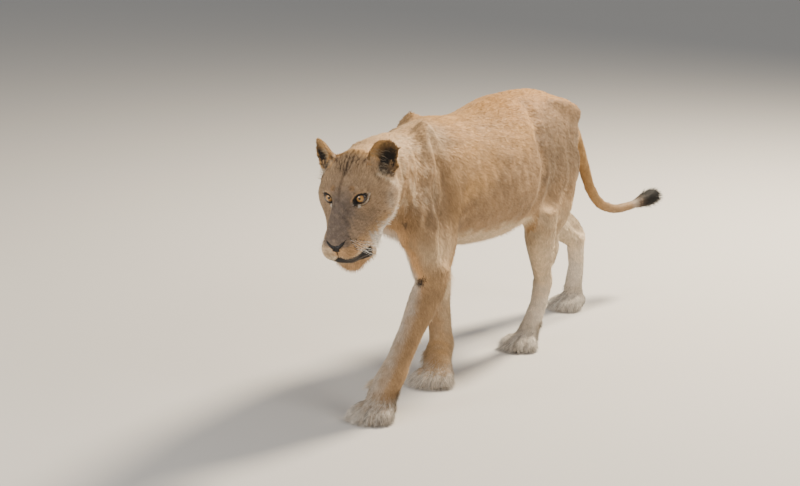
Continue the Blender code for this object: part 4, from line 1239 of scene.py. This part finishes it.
tailTuftPlan = {
    "from": 0.150, "perSquare": 95000, "long": (0.020, 0.022), "wide": 0.0017, "droop": -0.10, "shade": 0.45,
}
earHairPlan = {  # aims are along the ear, across it and out of its cup
    "perSquare": 300000, "wide": 0.0011, "scatter": 0.22,
    "earInner": {"aim": (0.15, 1.0, 0.75), "long": 0.020, "tone": ("cream", 0.65), "share": 0.06, "out": 0.0},
    "earLow": {"aim": (0.9, 0.25, 0.8), "long": 0.019, "tone": ("cream", 0.8), "share": 0.11, "out": 0.0},
    "earRim": {"aim": (0.7, 0.0, 0.7), "long": 0.0085, "tone": ("gold", 1.25), "share": 0.40, "out": 0.5},
}


def growTailTuft():
    where = isIn(faceOwner, "tail_end") & (tailBack[-1] - middles[:, 1] < tailTuftPlan["from"])
    roots = sowRoots(where * tailTuftPlan["perSquare"] * thin, 301)
    aim = roots["flow"] + 0.30 * roots["normal"] + scatter(roots, 0.12)
    short, more = tailTuftPlan["long"]
    long = short + more * step(0.15, 0.08, tailBack[-1] - roots["point"][:, 1])
    colour = ownColour(roots) * tailTuftPlan["shade"]
    tuft = growLocks("tailTuft", roots, aim, long[:, None], tailTuftPlan["wide"], tailTuftPlan["droop"], colour)
    tuft.data.materials[0] = finishes["darkHair"]


def within(values, low, high):
    return (values > low) & (values < high)


def growEarHair():
    near = headRegion & (faceSpot[:, 1] > 0.075) & (np.abs(faceSpot[:, 0]) > 0.05)
    roots = sowRoots((earRegion | near) * earHairPlan["perSquare"] * thin, 302)
    spot = toHead(roots["point"])
    rise, wide, out = earSpot(spot).T
    side = np.where(spot[:, :1] < 0, (-1, 1, 1), (1, 1, 1))
    facing = (roots["normal"] @ headAxes.T * side) @ earFrame()[2] > 0.2
    reach = np.hypot((wide - 0.004) / 0.050, (rise - 0.040) / 0.056)
    places = {
        "earInner": within(wide, -0.05, 0.004) & within(rise, -0.020, 0.060) & facing & (np.abs(out) < 0.03),
        "earLow": within(rise, -0.024, 0.000) & (np.abs(wide - 0.012) < 0.034) & facing,
        "earRim": within(reach, 0.88, 1.12) & (rise > 0.0),
    }
    for name, kept in places.items():
        plan = earHairPlan[name]
        kept = kept & (roots["dice"].random(len(kept)) < plan["share"])
        some = among(roots, kept)
        aim = np.array(plan["aim"]) @ np.array(earFrame()) + scatter(some, earHairPlan["scatter"])
        aim = (aim * side[kept]) @ headAxes + plan["out"] * some["normal"]
        tone, tint = plan["tone"]
        growLocks(name, some, aim, plan["long"], earHairPlan["wide"], 0, np.tile(paint[tone] * tint, (len(aim), 1)))


def fringePlaces():
    x, y, z = middles.T
    wide, back, high = np.abs(faceSpot[:, 0]), faceSpot[:, 1], faceSpot[:, 2]
    front = isIn(faceOwner, "trunk", "fore", "neck") & (y < -0.55) & (x < 0.12)
    return {
        "chin": headRegion & (high < -0.126) & within(back, -0.135, -0.02),
        "cheek": headRegion & (back > 0.02) & (wide > 0.080) & (high < 0.0),
        "chest": front & within(z, 0.40, 0.66) & (faceNormal[:, 1] < -0.1),
        "belly": trunkRegion & (faceNormal[:, 2] < -0.65) & (y > -0.5),
        "neckLock": isIn(faceOwner, "trunk", "neck") & (y < -0.56) & (z > 0.60),
        "legBack": isIn(faceOwner, "fore", "hind") & (faceNormal[:, 1] > 0.55) & within(z, 0.05, 0.42),
    }


fringePlans = {  # locks per square metre, their length, width, added aim, rise and share of the flow
    "chin": (100000, 0.011, 0.0010, (0, -0.25, -0.5), 0.55, 0.35),
    "cheek": (42000, 0.016, 0.0012, (0, 0.2, -0.25), 0.22, 1.0),
    "chest": (24000, 0.024, 0.0016, (0, 0, -0.9), 0.08, 0.6),
    "belly": (18000, 0.019, 0.0018, (0, 0.3, -0.1), 0.14, 1.0),
    "neckLock": (8000, 0.024, 0.0016, (0, 0, -0.3), 0.10, 1.0),
    "legBack": (32000, 0.015, 0.0019, (0, 0.3, -0.3), 0.42, 1.0),
}
tuftedPlans = {  # place, its size, length of the locks, their aim, locks per square metre and the share of cream
    "elbowLeft": ((0.125, -0.545, 0.385), 0.055, 0.026, (0.2, 0.6, -0.7), 30000, 0.6),
    "elbowRight": ((-0.120, -0.185, 0.375), 0.055, 0.026, (-0.2, 0.6, -0.7), 30000, 0.6),
    "dewTuft": ((0.035, -0.772, 0.098), 0.030, 0.028, (-0.75, -0.30, -0.55), 90000, 0.85),
}


def growFringes():
    places = fringePlaces()
    for index, (name, (perSquare, long, wide, add, rise, own)) in enumerate(fringePlans.items()):
        roots = sowRoots(places[name] * covered * perSquare * thin, 320 + index)
        aim = roots["flow"] * own + np.array(add) + rise * roots["normal"] + scatter(roots, 0.10)
        colour = ownColour(roots) * roots["dice"].uniform(1.00, 1.25, len(aim))[:, None]
        growLocks(name, roots, aim, long, wide, -0.12, colour)


def growTufted():  # elbows and the tuft of the dew claw
    for index, (name, (place, size, long, turn, perSquare, pale)) in enumerate(tuftedPlans.items()):
        roots = sowRoots(step(size, 0.5 * size, gapTo(middles, place)) * perSquare * thin, 340 + index)
        aim = np.array(turn) + 0.35 * roots["normal"] + scatter(roots, 0.16)
        tone = blendTo(ownColour(roots), paint["cream"], np.full(len(aim), pale))
        growLocks(name, roots, aim, long, 0.0018, -0.15, tone)


def growToeHair():
    for index, (name, (ahead, aside, *_)) in enumerate(pawFrames.items()):
        along, across, breadth = pawSpot(middles, name)
        inside = isIn(faceOwner, name) & within(middles[:, 2], 0.006, 0.090) & (along > -0.15)
        edge = step(-0.10, -0.03, along) + 0.6 * step(0.30 * breadth, 0.48 * breadth, np.abs(across))
        roots = sowRoots(inside * (0.15 + edge) * step(-0.6, -0.2, faceNormal[:, 2]) * 100000 * thin, 360 + index)
        along, across, breadth = pawSpot(roots["point"], name)
        across = across / breadth
        aim = np.full(roots["point"].shape, -0.45)
        aim[:, :2] = ahead + aside * (1.5 * across)[:, None]
        aim = aim + 0.40 * roots["normal"] + scatter(roots, 0.16)
        pale = roots["dice"].uniform(0.35, 1.0, len(aim)) * step(0.090, 0.045, roots["point"][:, 2])
        tone = blendTo(ownColour(roots), paint["white"] * 1.1, pale)
        tone = tone * np.where(roots["dice"].random(len(aim)) < 0.14, 0.45, 1.0)[:, None]
        long = 0.013 + 0.015 * step(-0.09, -0.02, along) + 0.006 * step(0.3, 0.5, np.abs(across))
        growLocks("toeHair_" + name, roots, aim, long[:, None], 0.0019, -0.25, tone)


growTailTuft()
growEarHair()
growFringes()
growTufted()
growToeHair()


# eyes: amber iris, round pupil, dark edge, a clear bulge in front

def makeSolid(name, spots, faces, layer, tones, finish):  # spots are in the head's frame
    mesh = bpy.data.meshes.new(name)
    mesh.from_pydata(fromHead(spots).tolist(), [], faces)
    work = bmesh.new()
    work.from_mesh(mesh)
    bmesh.ops.recalc_face_normals(work, faces=work.faces)
    work.to_mesh(mesh)
    work.free()
    shadeSmooth(mesh)
    mesh.update()
    paintPoints(mesh, layer, tones)
    mesh.materials.append(finishes[finish])
    return newObject(name, mesh)


def domeFaces(sides, levels):  # rings between a first and a last point
    return [(0, 1 + (k + 1) % sides, 1 + k) for k in range(sides)] + ringFaces(1, sides, levels)


def makeEye(name, side):
    gaze = unit(np.array(eyePlan["gaze"]))
    across = unit(np.cross(gaze, (0, 0, 1.0)))
    rise = np.cross(across, gaze)
    radius, sides = eyePlan["ball"] - 0.0004, eyePlan["sides"]
    edge, pupil = (math.asin(eyePlan[part] / radius) for part in ("iris", "pupil"))
    tilt = np.append(np.linspace(0, edge * 1.15, 40), np.linspace(edge * 1.15, math.pi, 22)[1:])
    lift = radius + eyePlan["bulge"] * np.clip(1 - (tilt / (edge * 1.05)) ** 2, 0, 1) ** 1.5
    turn = np.arange(sides) * 2 * math.pi / sides
    tilt, index = (grid.ravel() for grid in np.meshgrid(tilt, np.arange(sides), indexing="ij"))
    aside = across * np.cos(turn[index])[:, None] + rise * np.sin(turn[index])[:, None]
    way = gaze * np.cos(tilt)[:, None] + aside * np.sin(tilt)[:, None]
    spots = np.array(headPlan["eye"]) * (side, 1, 1) + way * np.repeat(lift, sides)[:, None]
    fibres = np.random.default_rng(9).uniform(0.78, 1.22, sides)
    share = (tilt - pupil) / (edge - pupil)
    amber = blendTo(np.array(eyePlan["inner"]), eyePlan["outer"], step(0.1, 0.9, share))
    amber = amber * fibres[(index + (tilt * 40).astype(int)) % sides][:, None]
    amber = blendTo(amber, paint["black"], 0.95 * step(0.84, 1.02, share))
    amber = blendTo(amber, paint["black"], step(0.05, -0.03, share))
    amber[-sides:] = paint["black"]
    inside = slice(sides - 1, 1 - sides)  # one point at each end
    piece = makeSolid(name, spots[inside], domeFaces(sides, len(lift) - 2), "eyeTone", amber[inside], "eyeAmber")
    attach(piece, "root")
    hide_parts("eye_left" if side > 0 else "eye_right")


makeEye("eyeBallLeft", 1)
makeEye("eyeBallRight", -1)
print("eyes made")


# nose pad: laid on the front of the muzzle, with nostrils curling out and up

nosePlan = {
    "outline": ((0, -0.0490), (0.012, -0.0470), (0.024, -0.0420), (0.0350, -0.0350), (0.0415, -0.0350),
                (0.0385, -0.0430), (0.0270, -0.0545), (0.0165, -0.0610), (0.0080, -0.0670), (0, -0.0705)),
    "middle": (0.0, -0.0585), "thick": 0.0026, "nostril": ((0.0120, -0.0600), (0.0215, -0.0535), (0.0350, -0.0420)),
    "sides": 96, "rings": 21, "tone": (0.009, 0.0065, 0.006), "backTone": (0.01, 0.008, 0.008),
}
skinTree = BVHTree.FromPolygons(toHead(skinPoints).tolist(), [tuple(face.vertices) for face in skinMesh.polygons])


def skinBack(flat):  # how far back the front of the head is at places aside and up
    return np.array([skinTree.ray_cast((x, -0.26, z), (0, 1, 0))[0][1] for x, z in flat])


def noseReach(turns):  # from the middle of the pad to its edge, evened out
    outline = np.array(nosePlan["outline"])
    ray = np.concatenate([outline, outline[-2:0:-1] * (-1, 1)]) - np.array(nosePlan["middle"])
    angle = np.arctan2(ray[:, 1], ray[:, 0])
    order = np.argsort(angle)
    reach = np.interp(turns, angle[order], np.linalg.norm(ray, axis=1)[order], period=2 * math.pi)
    for _ in range(3):
        reach = 0.5 * reach + 0.25 * (np.roll(reach, 1) + np.roll(reach, -1))
    return reach


def makeNose():
    sides, rings, middle = nosePlan["sides"], nosePlan["rings"], np.array(nosePlan["middle"])
    turns = np.linspace(-math.pi, math.pi, sides + 1)[:-1]
    edge = np.stack([np.cos(turns), np.sin(turns)], 1) * noseReach(turns)[:, None]
    share = np.append(0, np.repeat(np.arange(1, rings + 1) / rings, sides))
    flat = middle + np.append(np.zeros((1, 2)), np.tile(edge, (rings, 1)), 0) * share[:, None]
    x, z = flat.T
    gap = lineGap(np.abs(flat) * (1, 0) + flat * (0, 1), nosePlan["nostril"])
    carve, split = bell(gap, 0.0024), bell(x, 0.0011) * (0.3 + 0.7 * (z < -0.054))
    lift = nosePlan["thick"] * (1 - share ** 5) - 0.0050 * carve - 0.0011 * split - 0.0016 * share ** 8
    lift += 0.0012 * bell(gap - 0.0055, 0.0025) * (1 - share ** 4)
    front = np.stack([x, skinBack(flat) - lift * 0.8, z + lift * 0.5 * (z > -0.056)], 1)
    rim = middle + edge * 0.9  # the back of the pad, sunk in the muzzle
    sunk = np.stack([rim[:, 0], skinBack(rim) + 0.006, rim[:, 1]], 1)
    spots = np.concatenate([front, sunk, [(0, front[0, 1] + 0.012, middle[1])]])
    # darker in the nostrils and along the middle groove: painted shade
    tones = np.array(nosePlan["tone"]) * ((1 - 0.80 * carve) * (1 - 0.5 * split))[:, None] + 0.001
    tones = np.append(tones, np.tile(nosePlan["backTone"], (sides + 1, 1)), 0)
    piece = makeSolid("nosePad", spots, domeFaces(sides, rings + 1), "noseTone", tones, "noseLeather")
    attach(piece, "root")
    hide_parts("nose")


makeNose()
print("nose made")


# whiskers: long and pale, in rows on the pads

def whiskerRuns():  # start, aim, length and droop of each
    dice = np.random.default_rng(12)
    for side in (1, -1):
        for index, (back, rise) in enumerate(whiskerPlaces()):
            hit = skinTree.ray_cast((side * 0.2, back, rise), (-side, 0, 0))[0]
            if hit is not None:
                column = index % whiskerPlan["perRow"]
                aim = (side * dice.uniform(0.75, 0.95), -0.15 + 0.14 * column, dice.uniform(-0.75, -0.35))
                long = dice.uniform(0.034, 0.052) + 0.004 * column
                yield np.array(hit), unit(np.array(aim)), long, np.array((-side * 0.20, 0.50, -0.55))


def makeWhiskers():
    rings, sides, radius = (whiskerPlan[name] for name in ("rings", "sides", "radius"))
    spots, faces = [], []
    for start, aim, long, droop in whiskerRuns():
        across = unit(np.cross(aim, (0.1, 0.2, 1.0)))
        other = np.cross(across, aim)
        first = len(spots)
        for share in np.arange(rings) / rings:
            centre = start + (aim * (share - 0.03) + droop * share ** 2) * long
            for turn in np.arange(sides) * 2 * math.pi / sides:
                spots.append(centre + (across * math.cos(turn) + other * math.sin(turn)) * radius * (1 - 0.8 * share))
        spots.append(start + (aim + droop) * long)
        faces += [tuple(range(first + sides - 1, first - 1, -1))] + ringFaces(first, sides, rings)
    tones = np.tile(whiskerPlan["tone"], (len(spots), 1))
    piece = makeSolid("whiskers", np.array(spots), faces, "coatTone", tones, "coatHair")
    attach(piece, "root")


makeWhiskers()
print("whiskers made")
